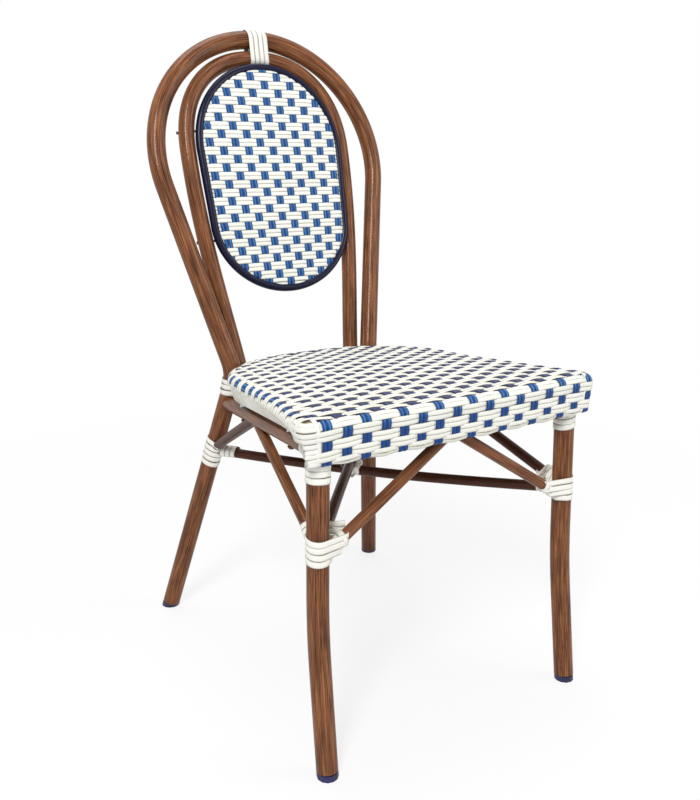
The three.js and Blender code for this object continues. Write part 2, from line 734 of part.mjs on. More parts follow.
// Seat outline, seen from above: bowed front, round front corners, flanks that draw in, a rounded rear
function seatOutline() {
  const plan = (x, y) => new THREE.Vector2(x, y);
  const front = plan(0, -seatFrontReach);
  const corner = plan(seatFrontHalfWidth, -seatCornerReach);
  const cornerStart = plan(seatFrontHalfWidth - seatCornerRadius, -seatCornerReach);
  const flank = plan(seatFlankHalfWidth, -seatFlankReach);
  const cornerEnd = corner.clone().add(flank.clone().sub(corner).setLength(seatCornerRadius));
  const waist = plan(seatWaistHalfWidth, seatRearCentre);
  const rear = Array.from({ length: 2 * seatRearSteps + 1 }, (unused, step) => {
    const angle = (Math.PI * step) / (4 * seatRearSteps);
    const across = Math.max(0, Math.cos(angle)) ** (2 / seatRearPower);
    const back = Math.sin(angle) ** (2 / seatRearPower);
    return plan(waist.x * across, waist.y + seatRearDepth * back);
  });
  rear[rear.length - 1].setX(0);
  const stretches = [
    [new THREE.QuadraticBezierCurve(front, plan(cornerStart.x / 2, front.y), cornerStart), seatFrontSteps],
    [new THREE.QuadraticBezierCurve(cornerStart, corner, cornerEnd), seatCornerSteps],
    [new THREE.LineCurve(cornerEnd, flank), seatFlankSteps],
    [new THREE.QuadraticBezierCurve(flank, plan(waist.x, -seatWaistReach), waist), seatWaistSteps],
    [new THREE.SplineCurve(rear), seatRearSteps],
  ];
  const half = [front, ...stretches.flatMap(([curve, steps]) => curve.getSpacedPoints(steps).slice(1))];
  const mirrored = half.slice(1, -1).map((point) => new THREE.Vector2(-point.x, point.y));
  return [...half, ...mirrored.reverse()];
}

const outline = seatOutline();
const outlineNormals = outline.map((point, index) => {
  const before = outline[(index + outline.length - 1) % outline.length];
  const after = outline[(index + 1) % outline.length];
  const along = after.clone().sub(before).normalize();
  return new THREE.Vector2(along.y, -along.x);
});
const insetPoint = (index, inset) => outline[index].clone().addScaledVector(outlineNormals[index], -inset);

// How far an outline point belongs to the front fascia or to the rear, from its outward direction
const frontness = (index) => THREE.MathUtils.smoothstep(-outlineNormals[index].y, ...frontnessRange);
const rearness = (index) => THREE.MathUtils.smoothstep(outlineNormals[index].y, ...rearnessRange);

// Lower rim of the woven shell: it hangs as a fascia in front and is drawn in to the rails at the sides.
function rimPoint(index, inset) {
  const point = outline[index];
  const side = Math.sign(point.x) || 1;
  const rail = railPoint(side, point.y);
  const [rearEnd, frontEnd] = sideRailStations(side);
  const alongRail = (rearEnd.y - point.y) / (rearEnd.y - frontEnd.y);
  const nearLeg = THREE.MathUtils.smoothstep(alongRail, legFlankShare, 1);
  const front = insetPoint(index, frontRimInset + inset);
  const overRail = new THREE.Vector2(rail.x + side * (rimOverRail - inset), point.y).lerp(front, nearLeg);
  const flank = vector(overRail.x, overRail.y, rail.z + rimLift);
  const rear = insetPoint(index, rearRimInset + inset);
  const place = vector(rear.x, rear.y, seatTop(point.y) - seatRearThickness);
  const flanked = flank.lerp(place, rearness(index));
  return flanked.lerp(vector(front.x, front.y, fasciaBottomHeight), frontness(index));
}

// A closed skin through rings of equal count, with a centre point at each end and each quad cut the short way
function loftRings(rings, firstCentre, lastCentre) {
  const count = rings[0].length;
  const points = [firstCentre, ...rings.flat(), lastCentre];
  const positions = points.flatMap((point) => point.toArray());
  const place = (ring, index) => 1 + ring * count + (index % count);
  const last = 1 + rings.length * count;
  const faces = [];
  for (let index = 0; index < count; index += 1) {
    faces.push(0, place(0, index), place(0, index + 1));
    faces.push(last, place(rings.length - 1, index + 1), place(rings.length - 1, index));
    for (let ring = 0; ring < rings.length - 1; ring += 1) {
      const [near, below] = [place(ring, index), place(ring + 1, index)];
      const [beyond, beside] = [place(ring + 1, index + 1), place(ring, index + 1)];
      const across = points[near].distanceTo(points[beyond]) < points[below].distanceTo(points[beside]);
      const cutAcross = [near, below, beyond, near, beyond, beside];
      const cutBeside = [near, below, beside, below, beyond, beside];
      faces.push(...(across ? cutAcross : cutBeside));
    }
  }
  const geometry = new THREE.BufferGeometry();
  geometry.setAttribute("position", new THREE.Float32BufferAttribute(positions, 3));
  geometry.setIndex(faces);
  geometry.computeVertexNormals();
  return geometry;
}

const seatCentre = vector(0, -seatCentreReach, 0);
const seatRing = (inset, drop) =>
  outline.map((point, index) => {
    const place = insetPoint(index, inset);
    return vector(place.x, place.y, seatTop(place.y) - drop);
  });
const seatDisc = (share, drop) =>
  outline.map((point) => {
    const x = point.x * share;
    const y = THREE.MathUtils.lerp(seatCentre.y, point.y, share);
    return vector(x, y, seatTop(y) + seatCrown * (1 - share ** 2) - drop);
  });
const seatMiddle = (drop) => vector(0, seatCentre.y, seatTop(seatCentre.y) + seatCrown - drop);

const shellRings = [
  seatDisc(innerDiscShare, 0),
  seatDisc(outerDiscShare, 0),
  seatRing(seatEdgeRound * edgeTopShare, 0),
  seatRing(seatEdgeRound * edgeSideShare, seatEdgeRound * edgeDropShare),
  seatRing(0, seatEdgeRound),
  outline.map((point, index) => rimPoint(index, 0)),
  outline.map((point, index) => rimPoint(index, weaveThickness)),
  seatRing(weaveThickness, seatEdgeRound),
  seatRing(seatEdgeRound * edgeTopShare + weaveThickness, weaveThickness * innerEdgeDropShare),
  seatDisc(outerDiscShare, weaveThickness),
  seatDisc(innerDiscShare, weaveThickness),
];
addPiece("seat_weave", loftRings(shellRings, seatMiddle(0), seatMiddle(weaveThickness)), whiteStrand);

// Seat ring under the weave, a flat bar bent on edge, with two bars across it
const outlineArea = new wasm.CrossSection([outline.map((point) => point.toArray())], "EvenOdd");
function ringLine(inset) {
  const [line] = outlineArea.offset(-inset, "Miter").toPolygons();
  return line.map(([x, y]) => new THREE.Vector2(x, y));
}
const ringShape = new THREE.Shape(ringLine(seatRingInset));
ringShape.holes.push(new THREE.Path(ringLine(seatRingInset + seatRingWidth)));
const ringBlank = new THREE.ExtrudeGeometry(ringShape, { depth: seatRingHeight, bevelEnabled: false });
const ringPositions = ringBlank.attributes.position;
for (let index = 0; index < ringPositions.count; index += 1) {
  ringPositions.setZ(index, ringPositions.getZ(index) + seatRingBottom(ringPositions.getY(index)));
}
let ringSolid = solidOf(ringBlank);
for (const side of Object.values(sides)) {
  for (const place of Object.values(spacerPlaces)) ringSolid = ringSolid.subtract(boltHole(side, place));
}
addPiece("seat_frame_ring", geometryOf(ringSolid), bareAluminium);

const ringSpace = new THREE.ExtrudeGeometry(
  new THREE.Shape(ringLine(seatRingInset + seatRingWidth + jointGap)),
  { depth: seatFrontHeight + wide, bevelEnabled: false },
);
supportBarPlaces.forEach((place, index) => {
  const half = supportBarWidth / 2;
  const geometry = new THREE.BoxGeometry(2 * seatFrontHalfWidth, supportBarWidth, supportBarThickness);
  geometry.rotateX(-radians(seatSlopeDegrees));
  const fall = half * Math.tan(radians(seatSlopeDegrees));
  geometry.translate(0, place, seatRingTop(place) - supportBarThickness / 2 - fall);
  const bar = solidOf(geometry).intersect(solidOf(ringSpace));
  addPiece(`seat_support_bar_${index ? "rear" : "front"}`, geometryOf(bar), bareAluminium);
});

// Spacers between the side rails and the ring, each with its bolt
for (const [word, side] of Object.entries(sides)) {
  for (const [end, y] of Object.entries(spacerPlaces)) {
    const rail = railPoint(side, y);
    const top = seatRingBottom(y + spacerRadius) - jointGap;
    const spacer = uprightRod(spacerRadius, rail.x, y, rail.z, top, tubeSides)
      .subtract(sideRailSeats[word])
      .subtract(boltHole(side, y));
    addPiece(`seat_spacer_${end}_${word}`, geometryOf(spacer), bareAluminium);

    const headSeat = rail.z - railRadius - boltHeadRadius * railSlope - jointGap;
    const shank = seatRingBottom(y) + boltGrip - headSeat;
    const bolt = headedPin(boltRadius, shank, boltHeadRadius, boltHeadHeight, false);
    const placed = placePin(bolt, vector(rail.x, y, headSeat), vector(0, 0, 1));
    addPiece(`seat_bolt_${end}_${word}`, placed, zincSteel);
  }
}

// Back panel: a flat ring, a woven face on each side and a round piping about its edge
function panelOutline(inset) {
  const path = new THREE.Path();
  const upper = panelUpperHalfWidth - inset;
  const lower = panelLowerHalfWidth - inset;
  path.absellipse(0, panelUpperCentre, upper, panelTopRise - panelUpperCentre - inset, 0, Math.PI, false, 0);
  path.absellipse(
    0,
    panelLowerCentre,
    lower,
    panelLowerCentre - panelBottomRise - inset,
    Math.PI,
    2 * Math.PI,
    false,
    0,
  );
  path.closePath();
  return path.getSpacedPoints(panelOutlinePoints).slice(0, -1);
}

// A closed line through stations in the panel's plane
class ClosedLine extends THREE.Curve {
  constructor(stations) {
    super();
    this.stations = stations;
  }

  getPoint(t, target = new THREE.Vector3()) {
    const count = this.stations.length;
    const place = (((t % 1) + 1) % 1) * count;
    const index = Math.floor(place) % count;
    const next = this.stations[(index + 1) % count];
    return target.lerpVectors(this.stations[index], next, place - Math.floor(place));
  }
}
const pipingStations = panelOutline(pipingRadius).map((point) => vector(point.x, point.y, panelForward));
const pipingPath = new ClosedLine(pipingStations);
const pipingTube = new THREE.TubeGeometry(pipingPath, pipingStations.length, pipingRadius, pinSides, true);

const panelRingInset = 2 * pipingRadius + panelRingGap;
const panelRingShape = new THREE.Shape(panelOutline(panelRingInset));
panelRingShape.holes.push(new THREE.Path(panelOutline(panelRingInset + panelRingWidth)));
const panelRing = new THREE.ExtrudeGeometry(panelRingShape, { depth: panelRingDepth, bevelEnabled: false });
panelRing.translate(0, 0, panelForward - panelRingDepth / 2);

const panelScrewHoles = panelScrewPlaces.map(({ side, rise }) =>
  panelScrewRod(side, rise, panelScrewRadius + boltClearance, true),
);
const drillPanel = (solid) => panelScrewHoles.reduce((drilled, hole) => drilled.subtract(hole), solid);
const pipingSolid = drillPanel(solidOf(pipingTube));
const panelRingSolid = drillPanel(solidOf(panelRing));
for (const { name, side, rise } of panelScrewPlaces) {
  const { hoop, ring, direction } = panelScrewLine(side, rise);
  const from = hoop.clone().addScaledVector(direction, -(hoopTubeRadius + jointGap));
  const screw = headedPin(
    panelScrewRadius,
    ring.distanceTo(from),
    panelScrewHeadRadius,
    panelScrewHeadHeight,
    false,
  );
  addPiece(`panel_screw_${name}`, placePin(screw, from, direction), zincSteel, innerPlane);
}
addPiece("back_panel_piping", geometryOf(pipingSolid), navyPiping, innerPlane);
addPiece("back_panel_ring", geometryOf(panelRingSolid), bareAluminium, innerPlane);

for (const [word, facing] of Object.entries({ front: 1, rear: -1 })) {
  const face = new THREE.ExtrudeGeometry(new THREE.Shape(panelOutline(panelRingInset)), {
    depth: panelWeaveDepth,
    bevelEnabled: false,
  });
  const nearFace = panelRingDepth / 2 + jointGap;
  const low = facing > 0 ? nearFace : -nearFace - panelWeaveDepth;
  face.translate(0, 0, panelForward + low);
  addPiece(`back_panel_weave_${word}`, geometryOf(drillPanel(solidOf(face))), whiteStrand, innerPlane);
}
chair.add(innerPlane);

// Bindings: each is one flat strap, wound edge to edge along a line and never crossing itself.
const strapSection = new THREE.Shape([
  new THREE.Vector2(-strapThickness / 2, -strapWidth / 2),
  new THREE.Vector2(strapThickness / 2, -strapWidth / 2),
  new THREE.Vector2(strapThickness / 2, strapWidth / 2),
  new THREE.Vector2(-strapThickness / 2, strapWidth / 2),
]);

// The point of a taut loop round a set of circles where the loop faces one direction
function tautPoint(angle, circles) {
  const facing = new THREE.Vector2(Math.cos(angle), Math.sin(angle));
  const centres = circles.map(({ x, y, radius }) => ({ centre: new THREE.Vector2(x, y), radius }));
  const support = ({ centre, radius }) => centre.dot(facing) + radius;
  const further = (best, circle) => (support(circle) > support(best) ? circle : best);
  const { centre, radius } = centres.reduce(further);
  return centre.addScaledVector(facing, radius);
}

// frameAt gives, at a distance along the winding, its middle, its axis, two directions across it,
// the circles that the loops go round, how much wider the first direction is drawn and how the loop tilts.
function winding(name, frameAt, { turns, steps, startAngle = 0, sense = 1 }) {
  const count = Math.round(turns * steps);
  const outset = strapClearance + strapThickness / 2;
  const stations = [];
  const axes = [];
  const middles = [];
  for (let index = 0; index <= count; index += 1) {
    const turn = index / steps;
    const angle = startAngle + sense * 2 * Math.PI * turn;
    const { middle, axis, across, beside, circles, widen = 1, tilt = 0 } = frameAt(turn * strapPitch);
    const cornered = (radius) => (radius + outset) / Math.cos(Math.PI / steps);
    const grown = circles.map(({ x, y, radius }) => ({ x, y, radius: cornered(radius) }));
    const place = tautPoint(angle, grown);
    stations.push(
      middle
        .clone()
        .addScaledVector(across, place.x * widen)
        .addScaledVector(beside, place.y)
        .addScaledVector(axis, (tilt * (1 - Math.cos(angle))) / 2),
    );
    axes.push(axis);
    middles.push(middle);
  }
  const line = new StationLine(stations);
  const outwards = stations.map((station, index) => {
    const outward = line.tangentOf(index).cross(axes[index]).normalize();
    return outward.dot(station.clone().sub(middles[index])) < 0 ? outward.negate() : outward;
  });
  const least = leastTurnGap(line, axes, outwards, steps);
  console.log(`${name}: least gap between turns ${least.toFixed(2)} mm`);
  return sweep(strapSection, stations, outwards);
}

// The least gap between the facing edges of neighbouring turns, from points of one edge to the other's pieces
function leastTurnGap(line, axes, outwards, steps) {
  const edges = [1, -1].map((way) =>
    line.stations.map((station, index) => {
      const across = outwards[index].clone().cross(line.tangentOf(index)).normalize();
      if (across.dot(axes[index]) < 0) across.negate();
      return station.clone().addScaledVector(across, (way * strapWidth) / 2);
    }),
  );
  const [upper, lower] = edges;
  const nearest = new THREE.Vector3();
  let least = Infinity;
  upper.forEach((point, index) => {
    for (let other = index + Math.round(steps / 2); other < lower.length - 1; other += 1) {
      new THREE.Line3(lower[other], lower[other + 1]).closestPointToPoint(point, true, nearest);
      least = Math.min(least, point.distanceTo(nearest));
    }
  });
  return least;
}

// Frame of a winding that climbs a leg from a height, with its across direction towards the chair's middle
function alongLeg(stations, height, tilt) {
  const start = legPoint(stations, height);
  const above = legPoint(stations, height + legTurns * strapPitch);
  const axis = above.clone().sub(start).normalize();
  const towards = vector(-Math.sign(start.x), -Math.sign(start.y), 0).normalize();
  const across = towards.addScaledVector(axis, -towards.dot(axis)).normalize();
  const beside = axis.clone().cross(across);
  const circles = [{ x: 0, y: 0, radius: frameTubeRadius }];
  return (distance) => {
    const middle = legPoint(stations, height + distance * axis.z);
    return { middle, axis, across, beside, circles, tilt };
  };
}

for (const [word, side] of Object.entries(sides)) {
  const frontLeg = frontLegStations(side);
  const rearLeg = rearLegStations(side);

  // The last part turn stays on the outer side of the leg, clear of the braces and the stretcher.
  const legBindings = {
    front_joint: { stations: frontLeg, height: frontJointBindingHeight, tilt: jointBindingTilt, sense: side },
    rear_joint: { stations: rearLeg, height: rearJointBindingHeight, tilt: jointBindingTilt, sense: -side },
    leg_top: { stations: frontLeg, height: legTopBindingHeight, tilt: 0, sense: side },
  };
  for (const [place, { stations, height, tilt, sense }] of Object.entries(legBindings)) {
    const name = `${place}_binding_${word}`;
    const startAngle = sense * radians(legTurnStartDegrees);
    const shape = { turns: legTurns, steps: roundSteps, startAngle, sense };
    const strap = solidOf(winding(name, alongLeg(stations, height, tilt), shape));
    addPiece(name, geometryOf(strap.subtract(frontFootSeats[word])), whiteStrap);
  }

  // Level turns round the rear leg and the inner hoop's end together
  const seatName = `rear_seat_binding_${word}`;
  const seatFrame = (distance) => {
    const height = rearSeatBindingHeight + distance;
    const middle = legPoint(rearLeg, height);
    const rise = (height - innerBaseHeight) / Math.cos(innerRake);
    const hoop = onInnerPlane(side * innerHalfWidth(rise), rise).sub(middle);
    return {
      middle,
      axis: vector(0, 0, 1),
      across: vector(1, 0, 0),
      beside: vector(0, 1, 0),
      circles: [
        { x: 0, y: 0, radius: frameTubeRadius + rearSeatSlack },
        { x: hoop.x, y: hoop.y, radius: hoopTubeRadius + rearSeatSlack },
      ],
    };
  };
  const seatTurns = { turns: rearSeatTurns, steps: hullSteps, sense: side };
  addPiece(seatName, winding(seatName, seatFrame, seatTurns), whiteStrap);
}

// Crown binding: round the outer and the inner hoop together, spread about the middle of the chair
const crownOuter = onBackPlane(0, crownHeight);
const crownInner = onInnerPlane(0, innerCrownRise);
const crownMiddle = crownOuter.clone().add(crownInner).multiplyScalar(0.5);
const crownUp = crownOuter.clone().sub(crownInner).normalize();
const crownHalf = crownOuter.distanceTo(crownInner) / 2;
const crownAxis = vector(1, 0, 0);
const crownFrame = (distance) => {
  const x = crownShift + distance - (crownTurns * strapPitch) / 2;
  const middle = crownMiddle.clone().addScaledVector(crownUp, -(x ** 2) / (2 * hoopRadius));
  middle.x = x;
  return {
    middle,
    axis: crownAxis,
    across: crownUp,
    beside: crownAxis.clone().cross(crownUp),
    circles: [
      { x: crownHalf, y: 0, radius: frameTubeRadius + hullSlack },
      { x: -crownHalf, y: 0, radius: hoopTubeRadius + hullSlack },
    ],
  };
};
const crownShape = { turns: crownTurns, steps: hullSteps };
addPiece("crown_binding", winding("crown_binding", crownFrame, crownShape), whiteStrap);

// Cross binding: loops over the upper stretcher and under the lower one, stepping across the chair
const crossDirection = upperStretcher[stretcherHalfSteps - 1]
  .clone()
  .sub(upperStretcher[stretcherHalfSteps + 1])
  .setZ(0)
  .normalize();
const crossFrame = (distance) => {
  const x = distance - (crossTurns * strapPitch) / 2;
  const edges = [x - strapWidth / 2, x + strapWidth / 2];
  return {
    middle: vector(crossPlace.x + x, crossPlace.y, crossPlace.z),
    axis: vector(1, 0, 0),
    across: vector(0, 1, 0),
    beside: vector(0, 0, 1),
    widen: 1 / crossDirection.x,
    circles: edges.flatMap((edge) => [
      { x: edge * crossDirection.y, y: crossSpread, radius: braceRadius + hullSlack },
      { x: -edge * crossDirection.y, y: -crossSpread, radius: braceRadius + hullSlack },
    ]),
  };
};
const crossShape = { turns: crossTurns, steps: hullSteps };
const crossStrap = solidOf(winding("cross_binding", crossFrame, crossShape));
addPiece("cross_binding", geometryOf(crossStrap.subtract(rivetHole)), whiteStrap);

// The chair stands with the middle of its bounding box over the origin.
chair.updateMatrixWorld(true);
const reach = new THREE.Box3().setFromObject(chair, true);
chair.position.y = -(reach.min.y + reach.max.y) / 2;

export default chair;
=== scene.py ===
"""Woven bistro chair: bent tubes with a bamboo look, seat and oval back of flat strands, strapped joints.

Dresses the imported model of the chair. Lengths in the settings are metres. The paths below are drawn in
millimetres, with Z up, the front towards minus Y and the feet on the ground, and are moved to the
place of the model.
"""

import json
import math
import random

import bpy
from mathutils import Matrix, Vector


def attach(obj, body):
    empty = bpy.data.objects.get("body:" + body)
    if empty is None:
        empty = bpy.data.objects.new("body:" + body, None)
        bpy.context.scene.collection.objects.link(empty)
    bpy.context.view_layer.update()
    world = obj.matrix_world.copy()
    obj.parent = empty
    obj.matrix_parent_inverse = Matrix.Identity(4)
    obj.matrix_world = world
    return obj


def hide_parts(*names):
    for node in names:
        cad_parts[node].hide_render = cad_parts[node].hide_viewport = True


bl_info = {
    "name": "Woven bistro chair",
    "version": (1, 0, 0),
    "blender": (4, 5, 0),
    "location": "3D View > Sidebar > Chair",
    "description": "Tubes, woven seat and back, bindings and fittings of a bistro chair",
    "category": "Object",
}

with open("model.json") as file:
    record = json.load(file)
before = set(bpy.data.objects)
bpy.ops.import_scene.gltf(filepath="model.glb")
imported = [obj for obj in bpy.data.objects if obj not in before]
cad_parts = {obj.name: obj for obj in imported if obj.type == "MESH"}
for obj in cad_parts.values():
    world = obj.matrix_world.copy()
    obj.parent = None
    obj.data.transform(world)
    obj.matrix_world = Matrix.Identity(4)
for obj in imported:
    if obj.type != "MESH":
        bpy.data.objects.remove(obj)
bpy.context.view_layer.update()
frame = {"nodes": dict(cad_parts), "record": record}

MM = 0.001
BODY = "root"
SIDES = {"left": -1, "right": 1}
FRONT_FOOT_REACH = 269
front_mount = next(m for m in frame["record"]["mounts"] if m["name"] == "foot_front_left")
SHIFT_Y = front_mount["pos_m"][1] / MM + FRONT_FOOT_REACH


# Paths of the frame


def spot(x, y, z=0.0):
    """A point of the drawing, in millimetres."""
    return Vector((x, y, z))


def in_model(point):
    """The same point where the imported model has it, in metres."""
    return (point.x * MM, (point.y + SHIFT_Y) * MM, point.z * MM)


def smooth(value, low, high):
    share = min(1.0, max(0.0, (value - low) / (high - low)))
    return share * share * (3 - 2 * share)


def mix(a, b, share):
    return a + (b - a) * share


def bent(corners, radii, steps):
    """Corners joined by straight runs, with a round bend at each inner corner."""
    points = [corners[0].copy()]
    for index in range(1, len(corners) - 1):
        corner = corners[index]
        back = (corners[index - 1] - corner).normalized()
        ahead = (corners[index + 1] - corner).normalized()
        setback = radii[index - 1] * math.tan((math.pi - back.angle(ahead)) / 2)
        start, end = corner + back * setback, corner + ahead * setback
        for step in range(steps + 1):
            share = step / steps
            points.append(start * (1 - share) ** 2 + corner * (2 * share * (1 - share)) + end * share**2)
    points.append(corners[-1].copy())
    return points


def spaced(points, spacing):
    """The same line with points no further apart than the spacing."""
    line = [points[0].copy()]
    for before, after in zip(points, points[1:]):
        count = max(1, math.ceil((after - before).length / spacing))
        line += [before.lerp(after, step / count) for step in range(1, count + 1)]
    return line


def at_height(points, height):
    """Where a climbing line passes a height."""
    for low, high in zip(points, points[1:]):
        if high.z >= height:
            return low.lerp(high, (height - low.z) / (high.z - low.z))
    return points[-1].copy()


FRONT_LEG = ((204.6, -FRONT_FOOT_REACH, 0), (203, -245.3, 189.5), (198.1, -241.7, 430))
REAR_FOOT = (205.4, 258.2, 0)
FRONT_BEND, REAR_BEND = 900, 65
REAR_LEG_POINTS = 13
BACK_RAKE = math.radians(16.8)
HOOP_RADIUS, HOOP_CENTRE = 193, 744
WAIST = (123.8, 141, 423)
# Heights of the rails, of the feet of the braces, and of the stretchers
FRONT_RAIL_Z, SIDE_RAIL_FRONT_Z, REAR_RAIL_Z = 412, 418, 375
FRONT_BRACE_Z, BRACE_Z, CROSS_Z = 281, 298, 294
CROSS_BOW = 7.85


def front_leg(side):
    return bent([spot(side * x, y, z) for x, y, z in FRONT_LEG], [FRONT_BEND], 16)


def on_back(x, z):
    """A point of the outer hoop's raked plane."""
    return spot(x, WAIST[1] + (z - WAIST[2]) * math.tan(BACK_RAKE), z)


def rear_frame():
    """Both rear legs and the outer hoop, from the right foot round to the left one."""
    rise = (HOOP_CENTRE - WAIST[2]) / math.cos(BACK_RAKE)
    start = math.acos(HOOP_RADIUS / math.hypot(rise, WAIST[0])) - math.atan2(rise, WAIST[0])
    arc = []
    for step in range(81):
        angle = start + (math.pi - 2 * start) * step / 80
        lift = HOOP_RADIUS * math.sin(angle) * math.cos(BACK_RAKE)
        arc.append(on_back(HOOP_RADIUS * math.cos(angle), HOOP_CENTRE + lift))
    legs = {}
    for side, top in ((1, arc[0]), (-1, arc[-1])):
        corners = [spot(side * x, y, z) for x, y, z in (REAR_FOOT, WAIST)]
        legs[side] = bent([*corners, top], [REAR_BEND], 10)
    return legs[1][:-1] + arc + legs[-1][:-1][::-1]


def rear_leg(side):
    return [spot(side * point.x, point.y, point.z) for point in rear_frame()[:REAR_LEG_POINTS]]


INNER_RAKE = math.radians(14.5)
INNER_BASE = (173.8, 460)
INNER_FOOT, SHOULDER, SHOULDER_RISE, CROWN_RISE = 98.5, 138.5, 307, 453.4
CROWN_POWER = 2 / 2.23
INNER_END_RISE = (REAR_RAIL_Z - INNER_BASE[1]) / math.cos(INNER_RAKE)


def on_inner(x, rise, forward=0.0):
    """A point of the inner hoop's raked plane: across, up the rake, and forward of it."""
    y = INNER_BASE[0] + rise * math.sin(INNER_RAKE) - forward * math.cos(INNER_RAKE)
    return spot(x, y, INNER_BASE[1] + rise * math.cos(INNER_RAKE) + forward * math.sin(INNER_RAKE))


INNER_FORWARD = (on_inner(0, 0, 1) - on_inner(0, 0, 0)).normalized()


def inner_half_width(rise):
    share = (rise - INNER_END_RISE) / (SHOULDER_RISE - INNER_END_RISE)
    return mix(INNER_FOOT, SHOULDER, math.sin(math.pi / 2 * share) ** 1.3)


def inner_hoop():
    """The inner hoop's line, from its right foot over the crown to its left one."""
    flank = [INNER_END_RISE + (SHOULDER_RISE - INNER_END_RISE) * step / 30 for step in range(30)]
    outline = [(inner_half_width(rise), rise) for rise in flank]
    for step in range(73):
        angle = math.pi * step / 72
        across = math.copysign(abs(math.cos(angle)) ** CROWN_POWER, math.cos(angle))
        rise = SHOULDER_RISE + (CROWN_RISE - SHOULDER_RISE) * math.sin(angle) ** CROWN_POWER
        outline.append((SHOULDER * across, rise))
    outline += [(-inner_half_width(rise), rise) for rise in flank[::-1]]
    return [on_inner(x, rise) for x, rise in outline]


def side_rail(side):
    return [at_height(rear_leg(side), REAR_RAIL_Z), at_height(front_leg(side), SIDE_RAIL_FRONT_Z)]


def rail_point(side, y):
    rear, front = side_rail(side)
    return rear.lerp(front, (y - rear.y) / (front.y - rear.y))


def stretcher(side):
    """A cross stretcher from a rear leg to the opposite front leg, bowed to pass the other one."""
    rear, front = at_height(rear_leg(side), CROSS_Z), at_height(front_leg(-side), CROSS_Z)
    points = [rear.lerp(front, step / 32) for step in range(33)]
    for step, point in enumerate(points):
        point.z += side * CROSS_BOW * math.sin(math.pi * step / 32)
    return points


def brace_heads():
    """Where the front and the rear pair of braces lean together, in the middle of their rails."""
    rear = at_height(rear_leg(1), REAR_RAIL_Z)
    return spot(0, FRONT_LEG[2][1], FRONT_RAIL_Z), spot(0, rear.y, REAR_RAIL_Z)


# The seat's shell

SEAT_CENTRE_Y, SEAT_FRONT_Y, SEAT_FRONT_Z = -51, -268, 463
SEAT_FALL = math.tan(math.radians(2.5))
SEAT_CROWN = 3.0
EDGE_ROUND = 14
ROUND_LENGTH = EDGE_ROUND * math.pi / 2
ROLL = 5.0
# The lower rim: its height in front, its place above and beside the side rails, its depth at the rear
RIM_FRONT_Z, RIM_OVER_RAIL, RIM_BESIDE_RAIL, RIM_REAR_DEPTH = 406, 14.5, 12.5, 42


def seat_top(y):
    return SEAT_FRONT_Z - (y - SEAT_FRONT_Y) * SEAT_FALL


def seat_outline():
    """The seat's outline seen from above, from the middle of the front round by the right, evenly spaced."""

    def curve(a, b, c):
        return [a * (1 - s) ** 2 + b * (2 * s * (1 - s)) + c * s**2 for s in (i / 60 for i in range(61))]

    def rear(angle):
        power = 2 / 2.4
        return Vector((188 * max(0.0, math.cos(angle)) ** power, -30 + 181 * math.sin(angle) ** power))

    corner_end = Vector((238, -268)) + Vector((-28, 115)).normalized() * 26
    half = curve(Vector((0, -274)), Vector((106, -274)), Vector((212, -268)))
    half += curve(Vector((212, -268)), Vector((238, -268)), corner_end)[1:]
    half += curve(Vector((210, -153)), Vector((188, -40)), Vector((188, -30)))
    half += [rear(math.pi / 2 * step / 80) for step in range(1, 81)]
    whole = half + [Vector((-p.x, p.y)) for p in half[-2:0:-1]]
    whole.append(whole[0].copy())
    count = 900
    reach = [0.0]
    for before, after in zip(whole, whole[1:]):
        reach.append(reach[-1] + (after - before).length)
    points, place = [], 0
    for index in range(count):
        target = reach[-1] * index / count
        while reach[place + 1] < target:
            place += 1
        span = reach[place + 1] - reach[place]
        points.append(whole[place].lerp(whole[place + 1], (target - reach[place]) / span if span else 0))
    return points, reach[-1]


def outline_normal(place):
    run = OUTLINE[(place + 3) % len(OUTLINE)] - OUTLINE[place - 3]
    return Vector((run.y, -run.x)).normalized()


OUTLINE, OUTLINE_LENGTH = seat_outline()
OUTLINE_NORMALS = [outline_normal(place) for place in range(len(OUTLINE))]


def outline_at(reach):
    """Point and outward direction of the outline at a distance along it."""
    place = (reach % OUTLINE_LENGTH) / OUTLINE_LENGTH * len(OUTLINE)
    low = int(place) % len(OUTLINE)
    high = (low + 1) % len(OUTLINE)
    share = place - int(place)
    normal = OUTLINE_NORMALS[low].lerp(OUTLINE_NORMALS[high], share).normalized()
    return OUTLINE[low].lerp(OUTLINE[high], share), normal


def rim_of(point, normal):
    """The lower rim of the shell below a point of the outline."""
    side = math.copysign(1, point.x or 1)
    rail = rail_point(side, point.y)
    rear, front = side_rail(side)
    near_leg = smooth((rear.y - point.y) / (rear.y - front.y), 0.86, 1)
    face = spot(point.x - normal.x * 4, point.y - normal.y * 4, RIM_FRONT_Z)
    over = spot(rail.x + side * RIM_BESIDE_RAIL, point.y).lerp(spot(face.x, face.y), near_leg)
    flank = spot(over.x, over.y, rail.z + RIM_OVER_RAIL)
    back = spot(point.x - normal.x * 8, point.y - normal.y * 8, seat_top(point.y) - RIM_REAR_DEPTH)
    return flank.lerp(back, smooth(normal.y, 0.15, 0.7)).lerp(face, smooth(-normal.y, 0.3, 0.85))


def skirt_fall(point, normal):
    """Where the skirt starts below the round edge, and the way from there to the rim."""
    start = spot(point.x, point.y, seat_top(point.y) - EDGE_ROUND)
    return start, rim_of(point, normal) - start


